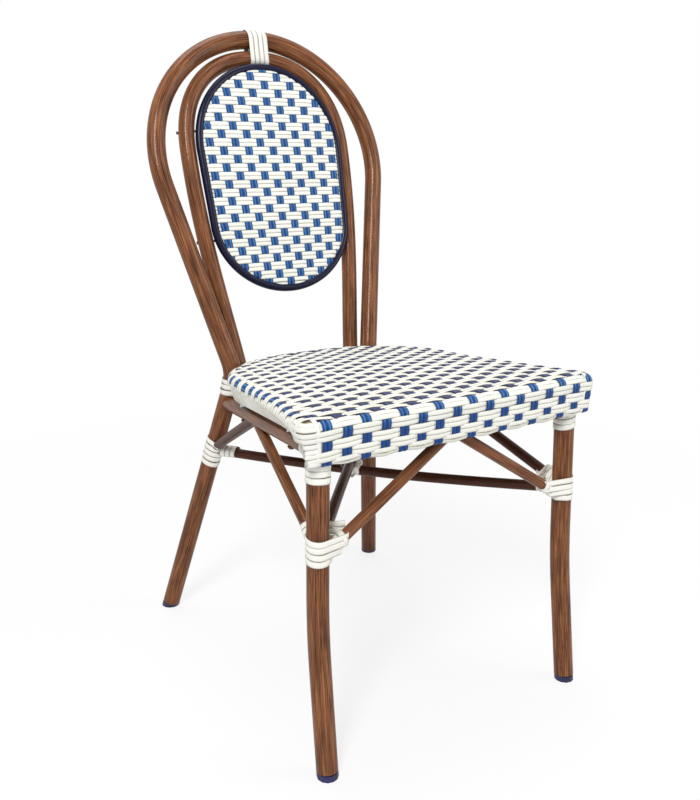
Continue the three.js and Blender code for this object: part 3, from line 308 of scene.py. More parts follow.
def on_skirt(reach, down, lift):
    """Point and outward direction on the shell's edge: down from the top, round, and under the rim."""
    point, normal = outline_at(reach)
    out = spot(normal.x, normal.y)
    if down <= ROUND_LENGTH:
        angle = down / EDGE_ROUND
        place = spot(point.x, point.y) - out * (EDGE_ROUND * (1 - math.sin(angle)))
        place.z = seat_top(place.y) - EDGE_ROUND * (1 - math.cos(angle))
        facing = out * math.sin(angle) + spot(0, 0, math.cos(angle))
        return place + facing * lift, facing
    start, fall = skirt_fall(point, normal)
    length = fall.length - ROLL
    fall.normalize()
    facing = Vector((out.x * -fall.z, out.y * -fall.z, fall.dot(out))).normalized()
    facing = out.lerp(facing, smooth(down, ROUND_LENGTH, ROUND_LENGTH + 12)).normalized()
    beyond = down - ROUND_LENGTH - length
    if beyond <= 0:
        return start + fall * (down - ROUND_LENGTH) + facing * lift, facing
    turn = min(beyond / ROLL, math.radians(125))
    turned = facing * math.cos(turn) + fall * math.sin(turn)
    place = start + fall * length - facing * ROLL + turned * (ROLL + lift)
    if beyond > turn * ROLL:
        place += (fall * math.cos(turn) - facing * math.sin(turn)) * (beyond - turn * ROLL)
    return place, turned


def skirt_length(reach):
    """From the top edge down to where the shell rolls under."""
    return ROUND_LENGTH + skirt_fall(*outline_at(reach))[1].length - ROLL


def top_height(x, y):
    """Height of the seat's top, which is crowned towards its middle."""
    depth = 209 if y < SEAT_CENTRE_Y else 188
    share = min(1.0, max(abs(x) / max(edge_x(y), 1.0), abs(y - SEAT_CENTRE_Y) / depth))
    return seat_top(y) + SEAT_CROWN * (1 - share**2) ** 0.8


def top_point(x, y, lift):
    """Point and upward direction on the seat's top."""
    slope = Vector((-(top_height(x + 2, y) - top_height(x - 2, y)) / 4, SEAT_FALL, 1)).normalized()
    return spot(x, y, top_height(x, y)) + slope * lift, slope


def top_edge(reach):
    """Where the flat part of the top ends, at a distance along the outline."""
    point, normal = outline_at(reach)
    return point.x - normal.x * EDGE_ROUND, point.y - normal.y * EDGE_ROUND


def edge_reach(side, y):
    """Distance along the outline at which the top's edge passes a depth, on one side of the seat."""
    low, high = 205.0, OUTLINE_LENGTH / 2
    for _ in range(40):
        middle = (low + high) / 2
        if top_edge(middle)[1] < y:
            low = middle
        else:
            high = middle
    return low if side > 0 else OUTLINE_LENGTH - low


WIDTHS_FROM, WIDTHS_STEP = -262, 2
EDGE_WIDTHS = [top_edge(edge_reach(1, WIDTHS_FROM + WIDTHS_STEP * step))[0] for step in range(201)]


def edge_x(y):
    """Half the width of the seat's top at a depth, inside its round edge."""
    place = min(199.99, max(0.0, (y - WIDTHS_FROM) / WIDTHS_STEP))
    low = int(place)
    return mix(EDGE_WIDTHS[low], EDGE_WIDTHS[low + 1], place - low)


# Making pieces


def line_object(name, lines):
    """Lines as an edge mesh. Each line has points, and may have facings and a shade."""
    vertices, edges, facings, shades = [], [], [], []
    for line in lines:
        first = len(vertices)
        points = line["points"]
        vertices += [in_model(point) for point in points]
        edges += [(first + i, first + i + 1) for i in range(len(points) - 1)]
        if line.get("closed"):
            edges.append((first + len(points) - 1, first))
        for facing in line.get("facings") or [Vector((0, 0, 1))] * len(points):
            facings += list(facing)
        shades += [line.get("shade", 0.0)] * len(points)
    mesh = bpy.data.meshes.new(name)
    mesh.from_pydata(vertices, edges, [])
    mesh.attributes.new("facing", "FLOAT_VECTOR", "POINT").data.foreach_set("vector", facings)
    mesh.attributes.new("shade", "FLOAT", "POINT").data.foreach_set("value", shades)
    shape = bpy.data.objects.new(name, mesh)
    bpy.context.scene.collection.objects.link(shape)
    return shape


def wire(tree, node, **inputs):
    """Gives a node's sockets plain values, or links where the value is another node's output."""
    for key, value in inputs.items():
        socket = node.inputs[key.replace("_", " ")]
        if hasattr(value, "is_linked"):
            tree.links.new(value, socket)
        else:
            socket.default_value = value
    return node


def put(tree, kind, settings=None, **inputs):
    """Adds a node with its settings and its inputs."""
    node = tree.nodes.new(kind)
    for key, value in (settings or {}).items():
        setattr(node, key, value)
    return wire(tree, node, **inputs)


def math_node(tree, operation, first, second):
    node = put(tree, "ShaderNodeMath", {"operation": operation})
    for socket, value in zip(node.inputs, (first, second)):
        if hasattr(value, "is_linked"):
            tree.links.new(value, socket)
        else:
            socket.default_value = value
    return node.outputs["Value"]


def kept(tree, shape, label, value, kind):
    """The shape with a value stored on its points."""
    node = put(tree, "GeometryNodeStoreNamedAttribute", {"data_type": kind})
    return wire(tree, node, Geometry=shape, Name=label, Value=value).outputs["Geometry"]


def sized(tree, curve, x, y):
    """A unit section with its places kept as the attribute around, and then its real size."""
    place = put(tree, "GeometryNodeInputPosition").outputs["Position"]
    curve = kept(tree, curve, "around", place, "FLOAT_VECTOR")
    scale = put(tree, "ShaderNodeCombineXYZ", X=x, Y=y).outputs["Vector"]
    return put(tree, "GeometryNodeTransform", Geometry=curve, Scale=scale).outputs["Geometry"]


def round_section(tree, source):
    circle = put(tree, "GeometryNodeCurvePrimitiveCircle", Radius=1.0, Resolution=source["Sides"])
    return sized(tree, circle.outputs["Curve"], source["Radius"], source["Radius"])


def flat_section(tree, source):
    """An eight-sided section with flat faces, which rounds the strand's edges."""
    eighth = math.pi / 8
    circle = put(tree, "GeometryNodeCurvePrimitiveCircle", Radius=1 / math.cos(eighth), Resolution=8)
    turned = put(tree, "GeometryNodeTransform", Geometry=circle.outputs["Curve"], Rotation=(0, 0, eighth))
    halves = [math_node(tree, "MULTIPLY", source[label], 0.5) for label in ("Thickness", "Width")]
    return sized(tree, turned.outputs["Geometry"], *halves)


SWEEPS = {
    "tube": ("Round tube along lines", {"Radius": "Float", "Sides": "Int"}, round_section),
    "strand": ("Flat strand along lines", {"Width": "Float", "Thickness": "Float"}, flat_section),
}
TREES = {}


def tree_of(kind):
    """The sweeping tree of a kind: lines to curves, its section along them, one plain smooth mesh."""
    if kind in TREES:
        return TREES[kind]
    name, inputs, section_of = SWEEPS[kind]
    tree = bpy.data.node_groups.new(name, "GeometryNodeTree")
    for label, sort in {"Geometry": "Geometry", **inputs, "Material": "Material"}.items():
        tree.interface.new_socket(name=label, in_out="INPUT", socket_type="NodeSocket" + sort)
    tree.interface.new_socket(name="Geometry", in_out="OUTPUT", socket_type="NodeSocketGeometry")
    source = tree.nodes.new("NodeGroupInput").outputs
    curve = put(tree, "GeometryNodeMeshToCurve", Mesh=source["Geometry"]).outputs["Curve"]
    if kind == "strand":
        read = put(tree, "GeometryNodeInputNamedAttribute", {"data_type": "FLOAT_VECTOR"}, Name="facing")
        facing = read.outputs["Attribute"]
        turn = put(tree, "GeometryNodeSetCurveNormal", {"mode": "FREE"}, Curve=curve, Normal=facing)
        curve = turn.outputs["Curve"]
    along = put(tree, "GeometryNodeSplineParameter").outputs["Length"]
    curve, section = kept(tree, curve, "along", along, "FLOAT"), section_of(tree, source)
    sweep = put(tree, "GeometryNodeCurveToMesh", Curve=curve, Profile_Curve=section, Fill_Caps=True)
    shade = put(tree, "GeometryNodeSetShadeSmooth", Geometry=sweep.outputs["Mesh"])
    real = put(tree, "GeometryNodeRealizeInstances", Geometry=shade.outputs["Geometry"])
    whole = real.outputs["Geometry"]
    paint = put(tree, "GeometryNodeSetMaterial", Geometry=whole, Material=source["Material"])
    put(tree, "NodeGroupOutput", Geometry=paint.outputs["Geometry"])
    TREES[kind] = tree
    return tree


def swept(name, kind, lines, values, material, replaces=()):
    """Runs a sweeping tree over the lines and leaves one plain mesh that rides on the chair."""
    shape = line_object(name + "_lines", lines)
    modifier = shape.modifiers.new("sweep", "NODES")
    modifier.node_group = tree_of(kind)
    settings = {**values, "Material": material}
    for item in modifier.node_group.interface.items_tree:
        if item.in_out == "INPUT" and item.name in settings:
            modifier[item.identifier] = settings[item.name]
    graph = bpy.context.evaluated_depsgraph_get()
    final = shape.evaluated_get(graph)
    mesh = bpy.data.meshes.new_from_object(final, preserve_all_data_layers=True, depsgraph=graph)
    lines_mesh = shape.data
    bpy.data.objects.remove(shape)
    bpy.data.meshes.remove(lines_mesh)
    finished(name, mesh, material, replaces)


def finished(name, mesh, material, replaces=()):
    """Makes a plain mesh a finished piece of the chair."""
    mesh.name = name
    if not mesh.materials:
        mesh.materials.append(material)
    piece = bpy.data.objects.new(name, mesh)
    bpy.context.scene.collection.objects.link(piece)
    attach(piece, BODY)
    if replaces:
        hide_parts(*replaces)


# Shader parts


def tone(code):
    """A colour written as six hex digits, as linear values."""
    values = []
    for place in (1, 3, 5):
        value = int(code[place : place + 2], 16) / 255
        values.append(value / 12.92 if value <= 0.04045 else ((value + 0.055) / 1.055) ** 2.4)
    return (*values, 1.0)


def attribute(tree, label, kind="Fac"):
    return put(tree, "ShaderNodeAttribute", {"attribute_name": label}).outputs[kind]


def span_of(tree, value, low, high, to_low=0.0, to_high=1.0):
    """A value's place between two numbers, as a number between two others."""
    limits = {"From_Min": low, "From_Max": high, "To_Min": to_low, "To_Max": to_high}
    return put(tree, "ShaderNodeMapRange", Value=value, **limits).outputs["Result"]


def new_group(name, inputs, outputs):
    """A shader group whose sockets are all numbers."""
    group = bpy.data.node_groups.new(name, "ShaderNodeTree")
    for label, value in inputs.items():
        socket = group.interface.new_socket(name=label, in_out="INPUT", socket_type="NodeSocketFloat")
        socket.default_value = value
    for label in outputs:
        group.interface.new_socket(name=label, in_out="OUTPUT", socket_type="NodeSocketFloat")
    return group, group.nodes.new("NodeGroupInput").outputs, group.nodes.new("NodeGroupOutput")


def grain_group():
    """Streaks that run along a tube or strand: fine ones and broad ones, between 0 and 1."""
    sizes = {"Girth": 14.0, "Fine": 1.2, "Fine Length": 0.04, "Broad": 0.25, "Broad Length": 0.012}
    group, source, out = new_group("Lengthwise grain", sizes, ("Fine", "Broad"))
    parts = put(group, "ShaderNodeSeparateXYZ", Vector=attribute(group, "around", "Vector")).outputs
    metres = math_node(group, "MULTIPLY", attribute(group, "along"), 1 / MM)
    offset = math_node(group, "MULTIPLY", attribute(group, "shade"), 37.0)
    for label, detail, rough in (("Fine", 3.0, 0.6), ("Broad", 2.0, 0.5)):
        span = math_node(group, "MULTIPLY", source["Girth"], source[label])
        x, y = (math_node(group, "MULTIPLY", parts[axis], span) for axis in "XY")
        run = math_node(group, "MULTIPLY", metres, source[label + " Length"])
        place = put(group, "ShaderNodeCombineXYZ", X=x, Y=y, Z=math_node(group, "ADD", run, offset))
        settings = {"Scale": 1.0, "Detail": detail, "Roughness": rough}
        noise = put(group, "ShaderNodeTexNoise", Vector=place.outputs["Vector"], **settings)
        group.links.new(noise.outputs["Fac"], out.inputs[label])
    return group


def soil_group():
    """A soft cloudy mask over the whole chair, for faint dust and uneven gloss."""
    group, source, out = new_group("Soft clouds", {"Size": 40.0}, ["Mask"])
    place = group.nodes.new("ShaderNodeTexCoord").outputs["Object"]
    noise = put(group, "ShaderNodeTexNoise", Vector=place, Scale=source["Size"], Detail=4.0, Roughness=0.6)
    group.links.new(span_of(group, noise.outputs["Fac"], 0.35, 0.68), out.inputs["Mask"])
    return group


GROUPS = {}


def group_in(tree, kind, **inputs):
    """One use of a shared shader group inside a material."""
    if kind not in GROUPS:
        GROUPS[kind] = {"grain": grain_group, "soil": soil_group}[kind]()
    return put(tree, "ShaderNodeGroup", {"node_tree": GROUPS[kind]}, **inputs).outputs


def new_material(name):
    material = bpy.data.materials.new(name)
    material.use_nodes = True
    tree = material.node_tree
    tree.nodes.clear()
    out = tree.nodes.new("ShaderNodeOutputMaterial")
    shader = tree.nodes.new("ShaderNodeBsdfPrincipled")
    tree.links.new(shader.outputs["BSDF"], out.inputs["Surface"])
    return material, tree, shader


def ramp_of(tree, factor, stops):
    node = tree.nodes.new("ShaderNodeValToRGB")
    elements = node.color_ramp.elements
    while len(elements) < len(stops):
        elements.new(0.5)
    for element, (place, colour) in zip(elements, stops):
        element.position = place
        element.color = colour
    tree.links.new(factor, node.inputs["Fac"])
    return node.outputs["Color"]


def mixed(tree, factor, first, second):
    node = put(tree, "ShaderNodeMix", {"data_type": "RGBA", "blend_type": "MIX"})
    for place, value in ((0, factor), (6, first), (7, second)):
        if hasattr(value, "is_linked"):
            tree.links.new(value, node.inputs[place])
        else:
            node.inputs[place].default_value = value
    return node.outputs[2]


def bump_of(tree, height, strength, distance):
    return put(tree, "ShaderNodeBump", Height=height, Strength=strength, Distance=distance).outputs["Normal"]


def bamboo_paint(name, dark, middle, light, rough=0.3):
    """Satin paint on a tube, streaked like bamboo."""
    material, tree, shader = new_material(name)
    grain = group_in(tree, "grain", Fine=0.85, Fine_Length=0.02, Broad=0.16, Broad_Length=0.010)
    clouds = group_in(tree, "soil", Size=22.0)
    streaks = ramp_of(tree, grain["Fine"], [(0.38, dark), (0.46, middle), (0.52, middle), (0.61, light)])
    patches = span_of(tree, grain["Broad"], 0.4, 0.66)
    colour = mixed(tree, patches, streaks, mixed(tree, 0.5, streaks, dark))
    colour = mixed(tree, math_node(tree, "MULTIPLY", clouds["Mask"], 0.25), colour, light)
    gloss = span_of(tree, grain["Fine"], 0.3, 0.7, rough - 0.04, rough + 0.1)
    wire(tree, shader, Base_Color=colour, Roughness=gloss, Normal=bump_of(tree, grain["Fine"], 0.12, 0.0004))
    wire(tree, shader, Specular_IOR_Level=0.05, Coat_Weight=0.25, Coat_Roughness=0.09)
    return material


def strand_plastic(name, body, edge, highlight_colour, highlight_share, rough, shine, level=None):
    """Flat extruded strand: fine ribs along it, painted shade darkening its edges, and a paler band of
    painted highlight along its middle where it is rounded upwards. Where it lies level it can take a darker
    colour as painted shade."""
    material, tree, shader = new_material(name)
    grain = group_in(tree, "grain", Girth=3.2, Fine=1.6, Fine_Length=0.03, Broad=0.2, Broad_Length=0.02)
    clouds = group_in(tree, "soil", Size=30.0)
    around = put(tree, "ShaderNodeSeparateXYZ", Vector=attribute(tree, "around", "Vector")).outputs["Y"]
    across = math_node(tree, "ABSOLUTE", around, 0.5)
    up = put(tree, "ShaderNodeSeparateXYZ", Vector=attribute(tree, "facing", "Vector")).outputs["Z"]
    # Painted highlight: a paler band along the strand's middle in the highlight colour, strongest where the
    # strand faces sideways on a rounded edge
    uneven = span_of(tree, grain["Broad"], 0.3, 0.6, 0.5, 1.0)
    band = math_node(tree, "MULTIPLY", span_of(tree, across, 0.45, 0.05), uneven)
    rounded = math_node(tree, "MULTIPLY", span_of(tree, up, -0.1, 0.3), span_of(tree, up, 0.97, 0.85))
    band = math_node(tree, "MULTIPLY", band, rounded)
    colour = mixed(tree, math_node(tree, "MULTIPLY", band, highlight_share), body, highlight_colour)
    # Painted shade: where the strand lies level and faces up, its colour leans towards the level colour, for
    # the shade of the seat's recessed top cells
    if level:
        colour = mixed(tree, span_of(tree, up, 0.93, 0.995, 0.0, 0.85), colour, level)
    # Painted shade: the strand darkens towards both long edges in the edge colour, for the shade between
    # neighbouring strands
    colour = mixed(tree, math_node(tree, "MULTIPLY", span_of(tree, across, 0.72, 1.0), 0.75), colour, edge)
    tint = span_of(tree, attribute(tree, "shade"), -1.0, 1.0, 0.93, 1.03)
    colour = put(tree, "ShaderNodeHueSaturation", Color=colour, Value=tint).outputs["Color"]
    # Faint dust: soft clouds also lean towards the edge colour
    colour = mixed(tree, math_node(tree, "MULTIPLY", clouds["Mask"], 0.06), colour, edge)
    gloss = span_of(tree, grain["Fine"], 0.3, 0.7, rough - 0.05, rough + 0.08)
    wire(tree, shader, Base_Color=colour, Roughness=gloss, Normal=bump_of(tree, grain["Fine"], 0.25, 0.0003))
    wire(tree, shader, Specular_IOR_Level=shine)
    return material


def plain_plastic(name, body, second, rough, size):
    """Moulded or extruded plastic with a faint mottle."""
    material, tree, shader = new_material(name)
    clouds, fine = (group_in(tree, "soil", Size=scale)["Mask"] for scale in (size, size * 12))
    gloss = span_of(tree, fine, 0, 1, rough, rough + 0.1)
    colour, bump = mixed(tree, clouds, body, second), bump_of(tree, fine, 0.1, 0.0002)
    wire(tree, shader, Base_Color=colour, Roughness=gloss, Normal=bump)
    return material


def bare_metal(name, body, second, rough, size):
    """Mill finish or plated metal, with cloudy wear and fine scratches."""
    material, tree, shader = new_material(name)
    clouds = group_in(tree, "soil", Size=size)["Mask"]
    place = tree.nodes.new("ShaderNodeTexCoord").outputs["Object"]
    stretch = put(tree, "ShaderNodeMapping", Vector=place, Scale=(60.0, 900.0, 900.0)).outputs["Vector"]
    lines = put(tree, "ShaderNodeTexNoise", Vector=stretch, Scale=1.0, Detail=2.0).outputs["Fac"]
    gloss = span_of(tree, lines, 0.3, 0.7, rough - 0.06, rough + 0.12)
    colour, bump = mixed(tree, clouds, body, second), bump_of(tree, lines, 0.15, 0.0002)
    wire(tree, shader, Base_Color=colour, Metallic=1.0, Roughness=gloss, Normal=bump)
    return material


ALUMINIUM = ((0.55, 0.56, 0.58, 1), (0.42, 0.43, 0.45, 1))
ZINC = ((0.48, 0.49, 0.5, 1), (0.36, 0.36, 0.37, 1))
MATERIALS = {}


def finish_of(name):
    """The chair's finishes, each made once from the colours in the settings."""
    if name in MATERIALS:
        return MATERIALS[name]
    hues = bpy.context.scene.chair_colours
    blues = (hues.blue, hues.blue_edge_shade_and_dust, hues.blue_painted_highlight)
    makers = {
        "brown": (bamboo_paint, "Bamboo brown paint", hues.tube_dark, hues.tube, hues.tube_light),
        # dark: the bamboo paint in darker colours, painted shade for tubes that lie in shade
        "dark": (bamboo_paint, "Dark bamboo paint", hues.rail_shade_streaks, hues.rail, hues.rail_shade_lights, 0.34),
        "white": (strand_plastic, "Cream strand", hues.cream, hues.cream_edge_shade_and_dust, hues.cream, 0.0, 0.42, 0.4),
        "blue": (strand_plastic, "Blue strand", *blues, 0.9, 0.4, 0.25, hues.blue_top_painted_shade),
        "strap": (strand_plastic, "White strap", hues.strap, hues.strap_edge_shade_and_dust, hues.strap, 0.0, 0.4, 0.4),
        "piping": (strand_plastic, "Navy piping", hues.navy, hues.navy, hues.navy, 0.0, 0.24, 0.2),
        # lining: tan sheets under the weave, painted shade for the gaps between the strands, mottled with the
        # cream edge colour
        "lining": (plain_plastic, "Strand lining", hues.lining, hues.cream_edge_shade_and_dust, 0.55, 40.0),
        "screw": (plain_plastic, "Painted screw", hues.tube_dark, hues.tube, 0.4, 90.0),
        "glide": (plain_plastic, "Glide plastic", hues.glide, hues.navy, 0.45, 60.0),
        "aluminium": (bare_metal, "Bare aluminium", *ALUMINIUM, 0.38, 25.0),
        "zinc": (bare_metal, "Zinc plating", *ZINC, 0.32, 90.0),
    }
    maker, *values = makers[name]
    MATERIALS[name] = maker(*values)
    return MATERIALS[name]


# Tubes of the frame


GLIDE_TOP = 8


def above_glides(points):
    """A tube's line without what lies inside the glides at its low ends."""
    inside = [place for place, point in enumerate(points) if point.z > GLIDE_TOP]
    line = [points[place] for place in inside]
    for end, beyond in ((inside[0], inside[0] - 1), (inside[-1], inside[-1] + 1)):
        if 0 <= beyond < len(points):
            low, high = points[beyond], points[end]
            cut = low.lerp(high, (GLIDE_TOP - low.z) / (high.z - low.z))
            line.insert(0 if beyond < end else len(line), cut)
    return line


def make_tubes(sizes):
    """All tubes of the frame, run into each other where they are welded."""

    def tube(name, node, points, radius, paint="brown", sides=32, spacing=12):
        line = {"points": spaced(points, spacing), "shade": random.uniform(-1, 1)}
        values = {"Radius": radius, "Sides": sides}
        swept(name, "tube", [line], values, finish_of(paint), [node])

    leg, rail, rod = sizes.frame_radius, sizes.rail_radius, sizes.brace_radius
    for word, side in SIDES.items():
        tube(f"leg_front_{word}", f"front_leg_{word}", above_glides(front_leg(side)), leg)
    tube("rear_legs_and_outer_hoop", "rear_frame_tube", above_glides(rear_frame()), leg, sides=36)
    tube("inner_hoop", "inner_hoop_tube", inner_hoop(), sizes.hoop_radius)
    for word, side in SIDES.items():
        tube(f"rail_{word}", f"side_rail_{word}", side_rail(side), rail)
    # Painted shade: the front and rear rails, the stretchers, the rear braces, the side braces to the rear
    # and the right brace to the front take the dark paint, as they lie in shade
    for word, legs, height in (("front", front_leg, FRONT_RAIL_Z), ("rear", rear_leg, REAR_RAIL_Z)):
        ends = [at_height(legs(side), height) for side in (-1, 1)]
        tube(f"rail_{word}", f"{word}_rail", ends, rail, "dark")
    for word, side in (("lower", -1), ("upper", 1)):
        tube(f"stretcher_{word}", f"cross_stretcher_{word}", stretcher(side), rod, "dark", 24, 20)
    front_head, rear_head = brace_heads()
    for word, side in SIDES.items():
        front, rear, head = front_leg(side), rear_leg(side), rail_point(side, 0)
        front_foot, rear_foot = at_height(front, BRACE_Z), at_height(rear, BRACE_Z)
        # Painted shade: the right brace to the front takes the dark paint, the left one the brown
        low_foot, paint = at_height(front, FRONT_BRACE_Z), "brown" if side < 0 else "dark"
        tube(f"brace_front_{word}", f"front_brace_{word}", [low_foot, front_head], rod, "brown", 24)
        tube(f"brace_rear_{word}", f"rear_brace_{word}", [rear_foot, rear_head], rod, "dark", 24)
        tube(f"brace_{word}_to_front", f"{word}_brace_front", [front_foot, head], rod, paint, 24)
        tube(f"brace_{word}_to_rear", f"{word}_brace_rear", [rear_foot, head], rod, "dark", 24)


# The woven seat

WAVE, SINK = 1.2, 1.5
EDGE_COLUMN, FREE_COLUMNS, REAR_COLUMN_LAST = 8, 7, 5
FRONT_SHIFT, FRONT_PITCH = 8.5, 26.1
FRONT_DEPTH, FRONT_WRAP = 73.0, 276
FRONT_DOWN = {0: 11.0, -1: 24.0, -2: 37.5, -3: 49.5, -4: 60.0}
FRONT_ROWS = [(-4.0, 1), *((down, row) for row, down in FRONT_DOWN.items()), (FRONT_DEPTH, -5)]
REAR_DOWN = {0: 9.0, 1: 22.5, 2: 36.0, 3: 49.0}
REAR_ROW = 13.4
LAST_ROW, REAR_FROM, REAR_MOST = 29, 69, 136
ROW_START, ROW_PITCH, ROW_SHRINK = -256.3, 14.31, 0.0282
# Depth on the seat, spacing of the blue columns there, and where the middle one runs
COLUMN_STATIONS = ((-241, 26.13, 4.9), (-15, 23.2, 2.8), (59, 21.5, 1.4))
COLUMN_TURN = -0.01727


def between(table, value):
    """A value looked up in rising pairs, by straight lines from one pair to the next."""
    for (low, below), (high, above) in zip(table, table[1:]):
        if value <= high:
            return mix(below, above, (value - low) / (high - low))
    return table[-1][1]


def strand_line(places):
    """A line of points and facings, with a shade of its own."""
    points, facings = zip(*places)
    return {"points": points, "facings": facings, "shade": random.uniform(-1, 1)}


def column_pitch(y):
    """Spacing of the blue columns, which fan out towards the front, and where the middle one runs."""
    first = 0 if y < COLUMN_STATIONS[1][0] else 1
    (low, wide, left), (high, narrow, right) = COLUMN_STATIONS[first : first + 2]
    share = (y - low) / (high - low)
    return mix(wide, narrow, share), mix(left, right, share) + COLUMN_TURN * (y - SEAT_FRONT_Y)


def row_place(row):
    """Where a white row crosses the middle of the seat's top; row 1 is the first behind the front edge."""
    step = row - 1
    return ROW_START + ROW_PITCH * step - ROW_SHRINK * step**2


def row_index(x, y):
    """Which row lies at a place of the top, as a running number."""
    past = y - bow_of(y, x) - ROW_START
    if past < 0:
        return 1 + past / 15.0
    return 1 + (ROW_PITCH - math.sqrt(ROW_PITCH**2 - 4 * ROW_SHRINK * past)) / (2 * ROW_SHRINK)


def bow_of(y, x):
    """The front rows follow the bowed front edge."""
    return 6 * min(1.0, abs(x) / 213) ** 2 * (1 - smooth(y, -258, -190))


def front_droop(reach):
    """How much lower the front's rows hang towards the corners."""
    return 4.0 * smooth(-reach, 150, 238) + 2.0 * smooth(reach, 160, 238)


def edge_column_down(y, side):
    """How far down the round edge the outermost column lies, from the start of the round."""
    pitch, middle = column_pitch(y)
    return max(4.0, min(17.0, EDGE_COLUMN * pitch + side * middle - edge_x(y)))


def front_column_at(reach):
    """Which column lies at a place of the front edge, as a running number."""
    return (reach - FRONT_SHIFT) / FRONT_PITCH


def rear_column(reach):
    x, y = top_edge(reach)
    pitch, centre = column_pitch(min(y, REAR_MOST))
    return reach, (x - centre) / pitch


REAR_COLUMNS = [rear_column(OUTLINE_LENGTH / 2 + step) for step in range(-240, 241, 4)]


def rear_column_at(reach):
    """Which column lies at a place of the rear edge, as a running number."""
    return between(REAR_COLUMNS, reach)


def white_row(row, shift):
    """One strand of a white row over the seat's top and down both sides."""
    base = row_place(row) + shift
    y = base + bow_of(base, 205)
    half, pitch, rear = edge_x(y), column_pitch(y)[0], y > REAR_FROM
    flanks = []
    for side in (-1, 1):
        reach = edge_reach(side, y)
        last = 9.0 if rear else skirt_length(reach) + ROLL * 2.0 + 4
        steps = max(3, int(last / 3.2))
        flank = []
        for step in range(1, steps + 1):
            down = last * step / steps
            index = EDGE_COLUMN + (down - edge_column_down(y, side)) / pitch
            wave = -WAVE * math.cos(math.pi * (index + row)) * (1 - smooth(index, 8.35, 8.7))
            if rear:
                wave = mix(wave, -2.2, smooth(down, 0, 7))
            lean = min(1.0, down / 40) * max(0.0, -215 - y) * 0.10
            flank.append(on_skirt(reach - side * lean, down, wave - SINK))
        flanks.append(flank)
    top = []
    count = int(2 * half / 4.0)
    for step in range(count + 1):
        x = mix(-half, half, step / count)
        y = base + bow_of(base, x)
        pitch, centre = column_pitch(y)
        index = (x - centre) / pitch
        if abs(index) > FREE_COLUMNS:
            side = math.copysign(1, index)
            free = centre + side * FREE_COLUMNS * pitch
            edge = side * (edge_x(base) + edge_column_down(base, side))
            index = side * (FREE_COLUMNS + (x - free) / (edge - free))
        top.append(top_point(x, y, -WAVE * math.cos(math.pi * (index + row)) - SINK))
    return strand_line(flanks[0][::-1] + top + flanks[1])


def wrapped_row(row, depth, shift, start, end, tuck, column_at, droops):
    """One strand of a row that runs round the seat's edge at a depth, its ends tucked under."""
    places = []
    count = int((end - start) / 4.0)
    for step in range(count + 1):
        reach = mix(start, end, step / count)
        droop = front_droop(reach) * min(1, depth / 20) if droops else 0
        index = column_at(reach)
        wave = -WAVE * math.cos(math.pi * (index + row)) * (1 - smooth(abs(index), 8.3, 8.9))
        wave = mix(-tuck, wave, smooth(min(reach - start, end - reach), 0, 14))
        places.append(on_skirt(reach, depth + shift + droop, wave - SINK))
    return strand_line(places)


def front_rise(column, reach):
    """A blue strand's way up the front, from under the rim to the start of the round edge."""
    places = []
    for step in range(27):
        down = FRONT_DEPTH - FRONT_DEPTH * step / 26
        droop = front_droop(reach) * min(1, down / 20)
        wave = WAVE * math.cos(math.pi * (column + between(FRONT_ROWS, down - droop)))
        places.append(on_skirt(reach, down, mix(wave, -0.5, smooth(down, 64, 68)) - SINK))
    return places


def blue_column(column, shift):
    """One strand of a blue column from under the front over the top, and down the rear in the middle."""
    places = front_rise(column, FRONT_SHIFT + FRONT_PITCH * column + shift)
    y = -259.0
    while True:
        pitch, centre = column_pitch(y)
        x = centre + pitch * column + shift
        if abs(x) > edge_x(y) or y > REAR_MOST + 0.5:
            break
        places.append(top_point(x, y, WAVE * math.cos(math.pi * (column + row_index(x, y))) - SINK))
        y += 2.3
    if abs(column) > REAR_COLUMN_LAST:
        end = edge_reach(1 if column >= 0 else -1, min(y, REAR_MOST))
        return strand_line(places + [on_skirt(end, 2.0 * i, -SINK - 0.5 * i) for i in range(1, 5)])
    ends = (OUTLINE_LENGTH / 2 + step for step in range(-230, 231))
    end = min(ends, key=lambda reach: abs(top_edge(reach)[0] - x))
    length = skirt_length(end) + 12
    steps = int(length / 2.6)
    for step in range(1, steps + 1):
        down = length * step / steps
        index = LAST_ROW + 1 + (down - REAR_DOWN[0]) / REAR_ROW
        places.append(on_skirt(end, down, WAVE * math.cos(math.pi * (column + index)) - SINK))
    return strand_line(places)


def edge_column(side, shift):
    """The outermost column, which comes over the front edge and lies on the round side edge."""
    places = front_rise(EDGE_COLUMN, FRONT_SHIFT + FRONT_PITCH * EDGE_COLUMN * side + shift)
    y = -258.0
    while y < REAR_FROM + 6:
        pitch, centre = column_pitch(y)
        x = centre + pitch * EDGE_COLUMN * side + shift
        half = edge_x(y)
        wave = WAVE * math.cos(math.pi * (EDGE_COLUMN + row_index(x, y)))
        wave = mix(-SINK, wave, smooth(REAR_FROM + 6 - y, 0, 10))
        edge = mix(abs(x) - half, edge_column_down(y, side) + side * shift, smooth(y, -245, -205))
        if edge <= 0:
            places.append(top_point(math.copysign(half + edge, side), y, wave - SINK))
        else:
            places.append(on_skirt(edge_reach(side, y), edge, wave - SINK))
        y += 2.4
    return strand_line(places)


